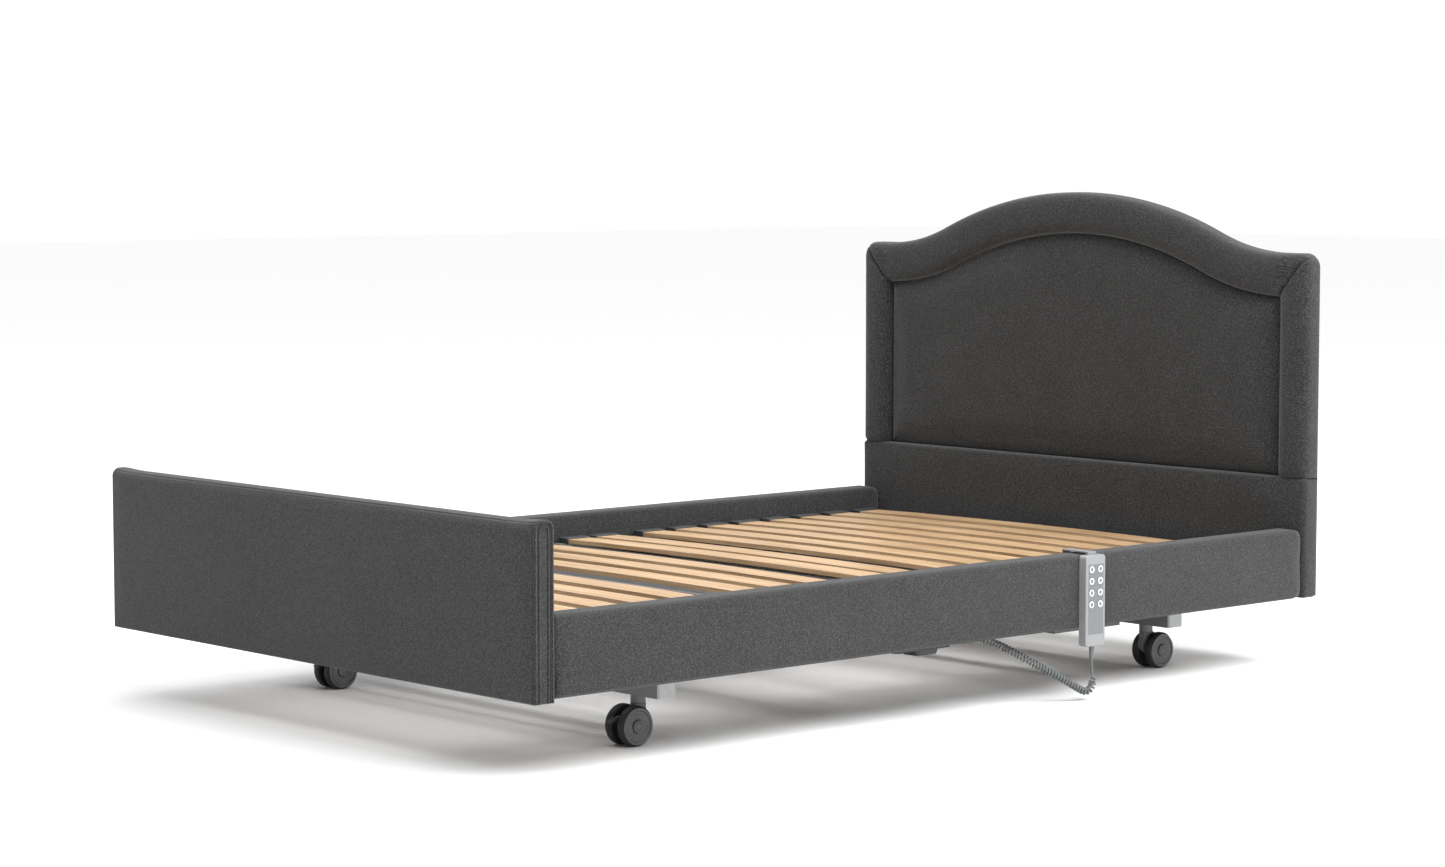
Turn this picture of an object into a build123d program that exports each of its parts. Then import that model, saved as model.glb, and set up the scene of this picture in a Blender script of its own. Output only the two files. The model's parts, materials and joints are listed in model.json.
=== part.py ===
"""Adjustable bed base: upholstered surround on a height-adjusting scissor frame with castors.

Units are millimetres. X runs across the bed, Y along it (head end at +Y), Z up.
The origin is on the floor, at the middle of the bed's length and width.
"""

import os
from math import acos, asin, cos, hypot, pi, radians, sin, tan

from build123d import *

os.makedirs("parts", exist_ok=True)

# ---------------------------------------------------------------- driving dimensions
INNER_LENGTH = 2020.0  # between the footboard and the headboard
BOARD_THICK = 45.0  # footboard and headboard
BOARD_HALF = 660.0  # half the width of both end boards
RAIL_OUT = 656.0  # outer face of a side rail
RAIL_IN = 602.0  # inner face of a side rail, for a 1200 mattress
RAIL_Z = (143.0, 291.0)
FOOTBOARD_Z = (138.0, 455.0)
HEADBOARD_Z = (142.0, 863.0)  # bottom edge, shoulder
HEADBOARD_PEAK = 985.0
HEADBOARD_SEAM = 394.0  # joint between the lower pad and the pads above it

CASTOR_X = 454.0
CASTOR_Y = (-646.0, 749.5)  # swivel axes, foot end and head end
WHEEL_R = 37.5
WHEEL_TRAIL = 22.0  # swivel axis to wheel axle

LIFT_TRAVEL = 400.0
ARM_LENGTH = 1200.0  # end pivot to end pivot
ARM_RISE = 60.0  # height of the upper pivots over the lower ones when the bed is down
PIVOT_Y = -560.0  # fixed pivots of both arms
PIVOT_Z = 113.0  # lower pivots

HINGE_Z = 217.5
BACK_HINGE_Y = 197.0
THIGH_HINGE_Y = -13.0
KNEE_HINGE_Y = -373.0
DECK_END_Y = 985.0  # both ends of the sleeping surface, from the middle

HANDSET_Y = 344.0
HANDSET_Z = (108.0, 288.0)
HANDSET_HALF = 28.0
CORD_D = 4.5
COIL_D = 16.0

# ---------------------------------------------------------------- sizes that follow
HALF_INNER = INNER_LENGTH / 2
HALF_LENGTH = HALF_INNER + BOARD_THICK
TUBE = 40.0  # castor tubes and chassis side tubes
WALL = 2.5
WELD_GAP = 0.1  # root gap between the members of a welded frame; each member is a solid
BASE_Z = (93.0, 133.0)
CASTOR_TUBE_HALF = 530.0  # half the length of the two tubes that carry the castors
BASE_SIDE_X = (434.0, 464.0)  # side tubes of the base, between the castor tubes
BASE_SIDE_Z = (108.0, 133.0)
CHASSIS_Z = (161.0, 201.0)
CHASSIS_X = (455.0, 485.0)
CROSS_Z = (179.0, 201.0)
SECTION_Z = (205.0, 230.0)
SECTION_X = (560.0, 585.0)
SLAT_THICK = 9.0
SLAT_CROWN = 6.0
SLAT_WIDTH = 60.0
SLAT_PITCH = 95.0

ARM_A_X = (410.0, 422.0)
ARM_B_X = (390.0, 402.0)
ARM_HALF_HEIGHT = 16.0
ARM_REST = asin(ARM_RISE / ARM_LENGTH)
ARM_RAISED = asin((ARM_RISE + LIFT_TRAVEL) / ARM_LENGTH)
ARM_MIDDLE_LIFT = ARM_LENGTH * sin((ARM_REST + ARM_RAISED) / 2) - ARM_RISE - LIFT_TRAVEL / 2
UPPER_Z = PIVOT_Z + ARM_RISE
UPPER_HOLE_Z = UPPER_Z + ARM_MIDDLE_LIFT / 2
PIN_R = 8.0
RUNNING = 0.05  # radial clearance of a running fit
GLIDE_R = 16.0
TIE_R = 13.0
TIE_A = (25.0, 1130.0)  # along arm A, from its lower pivot
TIE_B = (110.0, 1080.0)  # along arm B, from its upper pivot

LEVER_R = 80.0
BACK_LEVER_START = radians(-30.0)
LEG_LEVER_START = radians(25.0)
ACTUATOR_X = {"back": 90.0, "leg": -90.0, "lift": 0.0}
ACTUATOR_LENGTH = 330.0
LEVER_PIN_R = 6.0
CROSS_FROM_HINGE = (33.0, 58.0)  # a section's cross tube, measured from its hinge line


# ---------------------------------------------------------------- helpers
def bar(x, y, z, mode=Mode.ADD):
    """Rectangular bar between three pairs of limits."""
    middle = ((x[0] + x[1]) / 2, (y[0] + y[1]) / 2, (z[0] + z[1]) / 2)
    with Locations(middle):
        Box(x[1] - x[0], y[1] - y[0], z[1] - z[0], mode=mode)


def tube_bore(x, y, z, axis):
    """Hollow of a rectangular tube, open along one axis."""
    limits = {"x": x, "y": y, "z": z}
    inner = {key: v if key == axis else (v[0] + WALL, v[1] - WALL) for key, v in limits.items()}
    bar(inner["x"], inner["y"], inner["z"], mode=Mode.SUBTRACT)


def rod_x(x, y, z, radius, mode=Mode.ADD):
    """Round rod along X between two x limits."""
    with Locations(((x[0] + x[1]) / 2, y, z)):
        Cylinder(radius, x[1] - x[0], rotation=(0, 90, 0), mode=mode)


def rod_between(a, b, radius, mode=Mode.ADD):
    """Round rod between two points."""
    direction = Vector(*b) - Vector(*a)
    plane = Plane(origin=a, z_dir=direction)
    with BuildSketch(plane) as section:
        Circle(radius)
    extrude(section.sketch, amount=direction.length, mode=mode)


def plate_x(x, points, radius, mode=Mode.ADD):
    """Plate across X whose outline is the hull of round corners at the (y, z) points."""
    with BuildSketch(Plane.YZ.offset(x[0])) as outline:
        for point in points:
            with Locations(point):
                Circle(radius)
        make_hull()
    extrude(outline.sketch, amount=x[1] - x[0], mode=mode)


def around(middle, half):
    """Limits at the same distance on both sides of a middle."""
    return (middle - half, middle + half)


def both(x):
    """The same pair of x limits on both sides of the bed."""
    return [(x[0], x[1]), (-x[1], -x[0])]


def save(context, name):
    """Label a finished piece and write its STEP file."""
    context.part.label = name
    export_step(context.part, f"parts/{name}.step")


# ---------------------------------------------------------------- base frame
STEM_R = 13.0
SOCKET_R = 17.0
SOCKET_DEPTH = 36.0
PIVOT_BLOCK_HALF = 16.0
TRACK_Y = (490.0, 690.0)
TRACK_FLANGE_X = (404.0, BASE_SIDE_X[0] - WELD_GAP)
TRACK_FLANGE_Z = (93.5, 96.5)
TRACK_WEB_X = (431.0, BASE_SIDE_X[0] - WELD_GAP)
TRACK_WEB_Z = (TRACK_FLANGE_Z[1] + WELD_GAP, 118.0)
castor_tube_x = (-CASTOR_TUBE_HALF, CASTOR_TUBE_HALF)
with BuildPart() as base_frame:
    for castor_y in CASTOR_Y:
        bar(castor_tube_x, around(castor_y, TUBE / 2), BASE_Z)
        tube_bore(castor_tube_x, around(castor_y, TUBE / 2), BASE_Z, "x")
        for side in (-1, 1):
            with Locations((side * CASTOR_X, castor_y, sum(BASE_Z) / 2)):
                Cylinder(SOCKET_R, TUBE)
            with Locations((side * CASTOR_X, castor_y, BASE_Z[0] + SOCKET_DEPTH / 2)):
                Cylinder(STEM_R + RUNNING, SOCKET_DEPTH, mode=Mode.SUBTRACT)
    side_y = (CASTOR_Y[0] + TUBE / 2 + WELD_GAP, CASTOR_Y[1] - TUBE / 2 - WELD_GAP)
    for x_limits in both(BASE_SIDE_X):
        bar(x_limits, side_y, BASE_SIDE_Z)
        tube_bore(x_limits, side_y, BASE_SIDE_Z, "y")
    # fixed pivots of arm A
    for x_limits in both((ARM_A_X[1] + 1.5, BASE_SIDE_X[0] - WELD_GAP)):
        bar(x_limits, around(PIVOT_Y, PIVOT_BLOCK_HALF), around(PIVOT_Z, PIVOT_BLOCK_HALF))
        rod_x(x_limits, PIVOT_Y, PIVOT_Z, PIN_R + RUNNING, mode=Mode.SUBTRACT)
    # tracks of arm B's glides
    for x_limits in both(TRACK_FLANGE_X):
        bar(x_limits, TRACK_Y, TRACK_FLANGE_Z)
    for x_limits in both(TRACK_WEB_X):
        bar(x_limits, TRACK_Y, TRACK_WEB_Z)
save(base_frame, "base_frame")

CAP_FLANGE = 6.0
CAP_INSERT = 7.0
CAP_PLAY = 0.1
with BuildPart() as base_end_caps:
    for castor_y in CASTOR_Y:
        cap_y = around(castor_y, TUBE / 2)
        insert_y = around(castor_y, TUBE / 2 - WALL - CAP_PLAY)
        insert_z = (BASE_Z[0] + WALL + CAP_PLAY, BASE_Z[1] - WALL - CAP_PLAY)
        for x_limits in both((CASTOR_TUBE_HALF, CASTOR_TUBE_HALF + CAP_FLANGE)):
            bar(x_limits, cap_y, BASE_Z)
        for x_limits in both((CASTOR_TUBE_HALF - CAP_INSERT, CASTOR_TUBE_HALF)):
            bar(x_limits, insert_y, insert_z)
    cap_faces = base_end_caps.faces().filter_by(Axis.X).group_by(Axis.X)
    fillet(cap_faces[0].edges() + cap_faces[-1].edges(), radius=3)
save(base_end_caps, "base_end_caps")

# ---------------------------------------------------------------- castors
WHEEL_IN = 8.5  # inner face of a wheel, from the castor's middle
WHEEL_OUT = 27.5
WHEEL_RECESS = 2.5
HUB_PROUD = 0.5
AXLE_R = 5.0
AXLE_HALF = 24.0
STEM_TOP = 128.0
COLLAR_R = 14.0
COLLAR_Z = (76.0, 92.0)
FORK_HALF = 7.0
FORK_ROUND = 17.0
FORK_SHOULDER = 14.0  # height of the fork's upper round over the axle
PEDAL_PIVOT_R = 2.5
PEDAL_PIVOT = (24.0, 14.0)  # behind and above the axle
PEDAL_LUG_HALF = 3.0
PEDAL_HALF = 7.5
PEDAL_PLAY = 0.3


def wheel_profile():
    """Half section of a wheel: tread, recessed face and a hub that covers the axle's end."""
    recess_x = WHEEL_OUT - WHEEL_RECESS
    hub_x = WHEEL_OUT + HUB_PROUD
    bore_end = AXLE_HALF + 0.5
    with BuildSketch(Plane.XY) as profile:
        with BuildLine() as edge:
            FilletPolyline(
                (WHEEL_IN, AXLE_R + RUNNING),
                (WHEEL_IN, WHEEL_R - 3),
                (WHEEL_IN + 3, WHEEL_R),
                (WHEEL_OUT - 5, WHEEL_R),
                (WHEEL_OUT, WHEEL_R - 5),
                (WHEEL_OUT, 28),
                (recess_x, 26.5),
                (recess_x, 13),
                (hub_x, 11),
                (hub_x, 0),
                (bore_end, 0),
                (bore_end, AXLE_R + RUNNING),
                radius=[0, 1, 2, 3, 2, 0.8, 0.8, 0.8, 0.8, 0, 0, 0],
                close=True,
            )
        make_face(edge.edges())
    return profile.sketch


def castor(tag, x, swivel_y, trail):
    """Twin-wheel castor with a brake pedal; trail is the axle's signed offset in Y."""
    axle_y = swivel_y + trail
    axle_z = WHEEL_R
    back = 1 if trail > 0 else -1
    pivot_y = axle_y + back * PEDAL_PIVOT[0]
    pivot_z = axle_z + PEDAL_PIVOT[1]
    fork_x = around(x, FORK_HALF)
    lug_x = around(x, PEDAL_LUG_HALF)

    with BuildPart() as fork:
        rod_between((x, swivel_y, COLLAR_Z[1]), (x, swivel_y, STEM_TOP), STEM_R)
        rod_between((x, swivel_y, COLLAR_Z[0]), (x, swivel_y, COLLAR_Z[1]), COLLAR_R)
        plate_x(fork_x, [(axle_y, axle_z), (swivel_y, axle_z + FORK_SHOULDER)], FORK_ROUND)
        bar(fork_x, around(swivel_y, STEM_R), (axle_z + FORK_SHOULDER, COLLAR_Z[0] + 1))
        plate_x(lug_x, [(axle_y, axle_z), (pivot_y, pivot_z)], 2 * PEDAL_PIVOT_R)
        rod_x(around(x, AXLE_HALF), axle_y, axle_z, AXLE_R)
        rod_x(lug_x, pivot_y, pivot_z, PEDAL_PIVOT_R + RUNNING, mode=Mode.SUBTRACT)
    save(fork, f"castor_fork_{tag}")

    for side, side_name in ((-1, "left"), (1, "right")):
        with BuildPart() as wheel:
            turned = revolve(wheel_profile(), axis=Axis.X, mode=Mode.PRIVATE)
            placed = turned if side > 0 else turned.mirror(Plane.YZ)
            add(placed.moved(Location((x, axle_y, axle_z))))
        save(wheel, f"castor_wheel_{side_name}_{tag}")

    with BuildPart() as pedal:
        cheek = (PEDAL_LUG_HALF + PEDAL_PLAY, PEDAL_HALF)
        for low, high in both(cheek):
            plate_x((x + low, x + high), [(pivot_y, pivot_z), (pivot_y + back * 9, pivot_z)], 4.5)
        pedal_x = around(x, PEDAL_HALF)
        rod_x(pedal_x, pivot_y, pivot_z, PEDAL_PIVOT_R)
        plate_x(pedal_x, [(pivot_y + back * 10, pivot_z), (pivot_y + back * 22, pivot_z - 3)], 3)
    save(pedal, f"castor_pedal_{tag}")


castor("foot_left", -CASTOR_X, CASTOR_Y[0], -WHEEL_TRAIL)
castor("foot_right", CASTOR_X, CASTOR_Y[0], -WHEEL_TRAIL)
castor("head_left", -CASTOR_X, CASTOR_Y[1], WHEEL_TRAIL)
castor("head_right", CASTOR_X, CASTOR_Y[1], WHEEL_TRAIL)

# ---------------------------------------------------------------- scissor lift
RUN_A = (cos(ARM_REST), sin(ARM_REST))  # along arm A, from its lower pivot
RUN_B = (cos(ARM_REST), -sin(ARM_REST))  # along arm B, from its upper pivot


def along_a(distance):
    return (PIVOT_Y + distance * RUN_A[0], PIVOT_Z + distance * RUN_A[1])


def along_b(distance):
    return (PIVOT_Y + distance * RUN_B[0], UPPER_Z + distance * RUN_B[1])


MIDDLE = along_a(ARM_LENGTH / 2)
ARM_A_FACE = ARM_A_X[0] - WELD_GAP  # where the ties between a pair of arms end
ARM_B_FACE = ARM_B_X[0] - WELD_GAP
with BuildPart() as scissor_arms_outer:
    for x_limits in both(ARM_A_X):
        plate_x(x_limits, [along_a(0), along_a(ARM_LENGTH)], ARM_HALF_HEIGHT)
        rod_x(x_limits, *MIDDLE, PIN_R + RUNNING, mode=Mode.SUBTRACT)
    for distance in TIE_A:
        rod_x((-ARM_A_FACE, ARM_A_FACE), *along_a(distance), TIE_R)
    for x_limits in both((ARM_A_X[1] + WELD_GAP, BASE_SIDE_X[0] - 0.5)):
        rod_x(x_limits, *along_a(0), PIN_R)
    for x_limits in both((ARM_A_X[1] + WELD_GAP, CHASSIS_X[0] - 5)):
        rod_x(x_limits, *along_a(ARM_LENGTH), GLIDE_R)
save(scissor_arms_outer, "scissor_arms_outer")

LEVER_HALF = 4.0  # half the thickness of a lever plate
LEVER_ROUND = 10.0
LEVER_PIN_HALF = 14.0
LIFT_LEVER_PIN = (PIVOT_Y + 95.0, UPPER_Z - 70.0)
UPPER_PIN_LENGTH = 15.0
GLIDE_LENGTH = 26.0
with BuildPart() as scissor_arms_inner:
    for x_limits in both(ARM_B_X):
        plate_x(x_limits, [along_b(0), along_b(ARM_LENGTH)], ARM_HALF_HEIGHT)
    rod_x((-ARM_B_FACE, ARM_B_FACE), *along_b(TIE_B[1]), TIE_R)
    for x_limits in both((LEVER_HALF + WELD_GAP, ARM_B_FACE)):
        rod_x(x_limits, *along_b(TIE_B[0]), TIE_R)
    for x_limits in both((ARM_B_X[1] + WELD_GAP, ARM_A_X[1] - 0.5)):
        rod_x(x_limits, *MIDDLE, PIN_R)
    for x_limits in both((ARM_B_FACE - UPPER_PIN_LENGTH, ARM_B_FACE)):
        rod_x(x_limits, *along_b(0), PIN_R)
    for x_limits in both((ARM_B_X[1] + WELD_GAP, ARM_B_X[1] + GLIDE_LENGTH)):
        rod_x(x_limits, *along_b(ARM_LENGTH), GLIDE_R)
    plate_x((-LEVER_HALF, LEVER_HALF), [along_b(TIE_B[0]), LIFT_LEVER_PIN], LEVER_ROUND)
    rod_x((-LEVER_PIN_HALF, LEVER_PIN_HALF), *LIFT_LEVER_PIN, LEVER_PIN_R)
save(scissor_arms_inner, "scissor_arms_inner")

# ---------------------------------------------------------------- deck chassis
CROSS_Y = (-960.0, -640.0, -155.0, 341.0, 690.0, 960.0)
BACK_LEVER_PIN = (
    BACK_HINGE_Y + LEVER_R * sin(BACK_LEVER_START),
    HINGE_Z - LEVER_R * cos(BACK_LEVER_START),
)
LEG_LEVER_PIN = (
    THIGH_HINGE_Y + LEVER_R * sin(LEG_LEVER_START),
    HINGE_Z - LEVER_R * cos(LEG_LEVER_START),
)
MOTOR_PIVOTS = {
    "back": (BACK_LEVER_PIN[0] - ACTUATOR_LENGTH, BACK_LEVER_PIN[1] + 5),
    "leg": (LEG_LEVER_PIN[0] + ACTUATOR_LENGTH, LEG_LEVER_PIN[1] + 5),
    "lift": (-130.0, 154.0),
}
CROSS_HALF = 20.0
SEAT_LENGTH = 25.0
BUFFER_LENGTH = 16.0
BUFFER_GAP = 0.4
CHANNEL_Y = (500.0, CROSS_Y[4] - CROSS_HALF - WELD_GAP)
CHANNEL_X = (ARM_A_X[1] + 1.5, CHASSIS_X[0] - WELD_GAP)
CHANNEL_HALF = 22.0
CHANNEL_THICK = 3.0
ARM_BRACKET_X = (ARM_B_X[0] - 11, ARM_B_X[0] - 3)
ARM_BRACKET_HALF = 20.0
MOTOR_BRACKET_X = (13.0, 19.0)  # either side of the actuator's middle
chassis_y = (-DECK_END_Y + 5, DECK_END_Y - 5)
cross_middle_x = (-CHASSIS_X[0] + WELD_GAP, CHASSIS_X[0] - WELD_GAP)
cross_outer_x = (CHASSIS_X[1] + WELD_GAP, RAIL_IN)
with BuildPart() as deck_chassis:
    for x_limits in both(CHASSIS_X):
        bar(x_limits, chassis_y, CHASSIS_Z)
        tube_bore(x_limits, chassis_y, CHASSIS_Z, "y")
    for cross_y in CROSS_Y:
        for x_limits in (cross_middle_x, *both(cross_outer_x)):
            bar(x_limits, around(cross_y, CROSS_HALF), CROSS_Z)
            tube_bore(x_limits, around(cross_y, CROSS_HALF), CROSS_Z, "x")
    # seats of the fixed section and buffers under the far ends of the moving ones
    for x_limits in both(CHASSIS_X):
        for seat_y in (THIGH_HINGE_Y + CROSS_FROM_HINGE[0], BACK_HINGE_Y - CROSS_FROM_HINGE[1]):
            bar(x_limits, (seat_y, seat_y + SEAT_LENGTH), (CHASSIS_Z[1] + WELD_GAP, SECTION_Z[0]))
        for end_y in (-DECK_END_Y + 15, DECK_END_Y - 15):
            buffer_z = (CHASSIS_Z[1] + WELD_GAP, SECTION_Z[0] - BUFFER_GAP)
            bar(x_limits, around(end_y, BUFFER_LENGTH / 2), buffer_z)
    # channels for arm A's glides
    web_x = (CHANNEL_X[1] - CHANNEL_THICK, CHANNEL_X[1])
    for x_limits in both(web_x):
        bar(x_limits, CHANNEL_Y, around(UPPER_HOLE_Z, CHANNEL_HALF))
    for x_limits in both((CHANNEL_X[0], web_x[0] - WELD_GAP)):
        for side in (-1, 1):
            flange_z = UPPER_HOLE_Z + side * (CHANNEL_HALF - CHANNEL_THICK / 2)
            bar(x_limits, CHANNEL_Y, around(flange_z, CHANNEL_THICK / 2))
    # brackets for arm B's fixed pivots, on the head side of a cross tube
    bracket_y = (CROSS_Y[1] + CROSS_HALF + WELD_GAP, PIVOT_Y + ARM_BRACKET_HALF)
    for x_limits in both(ARM_BRACKET_X):
        bar(x_limits, bracket_y, (UPPER_HOLE_Z - ARM_BRACKET_HALF, CHASSIS_Z[1] - 4))
        rod_x(x_limits, PIVOT_Y, UPPER_HOLE_Z, PIN_R + 3, mode=Mode.SUBTRACT)
    # actuator brackets under the cross tubes, each with a cross pin
    for motor, (pivot_y, pivot_z) in MOTOR_PIVOTS.items():
        middle_x = ACTUATOR_X[motor]
        for low, high in both(MOTOR_BRACKET_X):
            cheek_x = (middle_x + low, middle_x + high)
            rod_x(cheek_x, pivot_y, pivot_z, LEVER_ROUND)
            bar(cheek_x, around(pivot_y, LEVER_ROUND), (pivot_z, CROSS_Z[0] - WELD_GAP))
        rod_x(around(middle_x, MOTOR_BRACKET_X[1]), pivot_y, pivot_z, LEVER_PIN_R)
save(deck_chassis, "deck_chassis")

# brackets that hold the two end boards
BOARD_BRACKET_WIDER = 10.0  # than the chassis tube, on each side
BOARD_PLATE = 5.0
with BuildPart() as board_brackets:
    for x_limits in both((CHASSIS_X[0] - BOARD_BRACKET_WIDER, CHASSIS_X[1] + BOARD_BRACKET_WIDER)):
        for side in (-1, 1):
            arm_y = sorted((side * chassis_y[1], side * HALF_INNER))
            plate_y = sorted((side * (HALF_INNER - BOARD_PLATE), side * HALF_INNER))
            bar(x_limits, arm_y, (CHASSIS_Z[0] + 12, CHASSIS_Z[1] - 12))
            bar(x_limits, plate_y, (CHASSIS_Z[0] - 8, CHASSIS_Z[1] + 20))
save(board_brackets, "board_brackets")


# ---------------------------------------------------------------- mattress platform
LUG_PARENT_X = (540.0, 548.0)
LUG_CHILD_X = (549.0, 557.0)
LUG_ROUND = 11.0
HINGE_PIN_R = 6.0
HINGE_CUT = 15.0  # from a hinge line back to the ends of the side tubes


def section_frame(name, foot_end, head_end, lugs):
    """Rectangular section of the platform; lugs are (hinge y, towards, is child) tuples."""
    with BuildPart() as frame:
        hinge_foot = any(towards > 0 for _, towards, _ in lugs)
        hinge_head = any(towards < 0 for _, towards, _ in lugs)
        side_y = (foot_end + HINGE_CUT * hinge_foot, head_end - HINGE_CUT * hinge_head)
        near, far = CROSS_FROM_HINGE
        depth = far - near
        foot_cross = (foot_end + near, foot_end + far) if hinge_foot else (foot_end, foot_end + depth)
        head_cross = (head_end - far, head_end - near) if hinge_head else (head_end - depth, head_end)
        cross_x = (-SECTION_X[0] + WELD_GAP, SECTION_X[0] - WELD_GAP)
        for x_limits in both(SECTION_X):
            bar(x_limits, side_y, SECTION_Z)
            tube_bore(x_limits, side_y, SECTION_Z, "y")
        for cross in (foot_cross, head_cross):
            bar(cross_x, cross, SECTION_Z)
            tube_bore(cross_x, cross, SECTION_Z, "x")
        for hinge_y, towards, is_child in lugs:
            root_y = hinge_y + towards * (near - WELD_GAP)
            for x_limits in both(LUG_CHILD_X if is_child else LUG_PARENT_X):
                rod_x(x_limits, hinge_y, HINGE_Z, LUG_ROUND)
                bar(x_limits, sorted((hinge_y, root_y)), around(HINGE_Z, LUG_ROUND))
            if is_child:
                for x_limits in both((LUG_PARENT_X[0] - 2, LUG_CHILD_X[0] + 1)):
                    rod_x(x_limits, hinge_y, HINGE_Z, HINGE_PIN_R)
            else:
                for x_limits in both(LUG_PARENT_X):
                    rod_x(x_limits, hinge_y, HINGE_Z, HINGE_PIN_R + RUNNING, mode=Mode.SUBTRACT)
        if name == "backrest_frame":
            lever(ACTUATOR_X["back"], BACK_HINGE_Y, BACK_LEVER_PIN, foot_cross[0] - WELD_GAP)
        if name == "thigh_frame":
            lever(ACTUATOR_X["leg"], THIGH_HINGE_Y, LEG_LEVER_PIN, head_cross[1] + WELD_GAP)
    save(frame, name)


def lever(x, hinge_y, pin, root_y):
    """Lever plate under a section, with the cross pin that the actuator pushes.

    root_y is the face of the section's cross tube that the plate is welded to.
    """
    plate = around(x, LEVER_HALF)
    bar(plate, sorted((hinge_y, root_y)), around(HINGE_Z, LEVER_ROUND))
    plate_x(plate, [(hinge_y, HINGE_Z), pin], LEVER_ROUND)
    rod_x(around(x, LEVER_PIN_HALF), *pin, LEVER_PIN_R)


def slats(name, first_y, step, count):
    """Bowed slats across the platform, one solid each."""
    with BuildPart() as row:
        half = SECTION_X[1]
        with BuildSketch(Plane.XZ) as profile:
            with BuildLine():
                bottom = SECTION_Z[1]
                ThreePointArc((-half, bottom), (0, bottom + SLAT_CROWN), (half, bottom))
                Line((half, bottom), (half, bottom + SLAT_THICK))
                ThreePointArc(
                    (half, bottom + SLAT_THICK),
                    (0, bottom + SLAT_CROWN + SLAT_THICK),
                    (-half, bottom + SLAT_THICK),
                )
                Line((-half, bottom + SLAT_THICK), (-half, bottom))
            make_face()
        slat = extrude(profile.sketch, amount=SLAT_WIDTH / 2, both=True, mode=Mode.PRIVATE)
        for index in range(count):
            add(slat.moved(Location((0, first_y + step * index, 0))))
        fillet(row.edges().filter_by(Axis.Z), radius=6)
    save(row, name)


section_frame(
    "seat_frame",
    THIGH_HINGE_Y,
    BACK_HINGE_Y,
    [(THIGH_HINGE_Y, 1, False), (BACK_HINGE_Y, -1, False)],
)
section_frame("backrest_frame", BACK_HINGE_Y, DECK_END_Y, [(BACK_HINGE_Y, 1, True)])
section_frame(
    "thigh_frame",
    KNEE_HINGE_Y,
    THIGH_HINGE_Y,
    [(THIGH_HINGE_Y, -1, True), (KNEE_HINGE_Y, 1, False)],
)
section_frame("calf_frame", -DECK_END_Y, KNEE_HINGE_Y, [(KNEE_HINGE_Y, -1, True)])
slats("seat_slats", THIGH_HINGE_Y + 65, 80, 2)
slats("backrest_slats", BACK_HINGE_Y + 68, SLAT_PITCH, 8)
slats("thigh_slats", THIGH_HINGE_Y - 85, -SLAT_PITCH, 3)
slats("calf_slats", KNEE_HINGE_Y - 70, -SLAT_PITCH, 6)


# ---------------------------------------------------------------- actuators
YOKE = (34.0, 46.0)  # block that joins a clevis to its rod, measured back from the lever pin


def actuator(name, pin, slot, shift):
    """Electric actuator: pivoted motor housing and a push rod with a slotted clevis.

    pin is the lever pin at rest, slot the slot's (along, across) size in the rod's frame,
    shift the slot's (along, across) offset from the pin at rest.
    """
    x = ACTUATOR_X[name]
    start = MOTOR_PIVOTS[name]
    run = (pin[0] - start[0], pin[1] - start[1])
    length = hypot(*run)
    along = (run[0] / length, run[1] / length)
    across = (-along[1], along[0])

    def at(distance, offset=0.0):
        return (
            start[0] + along[0] * distance + across[0] * offset,
            start[1] + along[1] * distance + across[1] * offset,
        )

    def point(distance, offset=0.0, side=0.0):
        return (x + side, *at(distance, offset))

    with BuildPart() as housing:
        rod_between(point(16), point(length - 70), 17)
        rod_between(point(30), point(110), 24)
        plate_x((x - 12, x + 12), [at(0), at(24)], 11)
        rod_x((x - 12, x + 12), *start, LEVER_PIN_R + RUNNING, mode=Mode.SUBTRACT)
        rod_between(point(112), point(length - 69), 10 + RUNNING, mode=Mode.SUBTRACT)
    save(housing, f"{name}_actuator_housing")

    with BuildPart() as rod:
        rod_between(point(130), point(length - YOKE[0]), 10)
        cheek_end = slot[0] / 2 + 7 + shift[0]
        clevis_plane = Plane(origin=point(length), x_dir=(0, *along), z_dir=(1, 0, 0))
        with BuildSketch(clevis_plane) as cheek:
            with Locations(((cheek_end - YOKE[1]) / 2, shift[1])):
                Rectangle(cheek_end + YOKE[1], slot[1] + 14)
            with Locations(shift):
                SlotCenterToCenter(slot[1] - slot[0], slot[0], rotation=90, mode=Mode.SUBTRACT)
        for side in (6.0, -12.0):
            extrude(cheek.sketch.moved(Location((side, 0, 0))), amount=6)
        with BuildSketch(clevis_plane) as yoke:
            with Locations((-(YOKE[0] + YOKE[1]) / 2, shift[1])):
                Rectangle(YOKE[1] - YOKE[0], slot[1] + 14)
        extrude(yoke.sketch.moved(Location((-12, 0, 0))), amount=24)
    save(rod, f"{name}_actuator_rod")


actuator("back", BACK_LEVER_PIN, (15.8, 28.2), (0.65, -6.95))
actuator("leg", LEG_LEVER_PIN, (14.0, 18.0), (-0.25, 1.9))
actuator("lift", LIFT_LEVER_PIN, (15.0, 18.0), (-0.9, -0.95))

# ---------------------------------------------------------------- upholstered surround
for rail_name, x_limits in zip(("side_rail_right", "side_rail_left"), both((RAIL_IN, RAIL_OUT))):
    with BuildPart() as side_rail:
        bar(x_limits, (-HALF_INNER, HALF_INNER), RAIL_Z)
        head_face = side_rail.faces().sort_by(Axis.Y)[-1]
        fillet(head_face.edges().filter_by(Axis.X), radius=22)
        fillet(side_rail.edges().filter_by(Axis.Y), radius=9)
    save(side_rail, rail_name)

with BuildPart() as footboard:
    bar((-BOARD_HALF, BOARD_HALF), (-HALF_LENGTH, -HALF_INNER), FOOTBOARD_Z)
    fillet(footboard.edges().filter_by(Axis.X).group_by(Axis.Z)[-1], radius=16)
save(footboard, "footboard")

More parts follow.
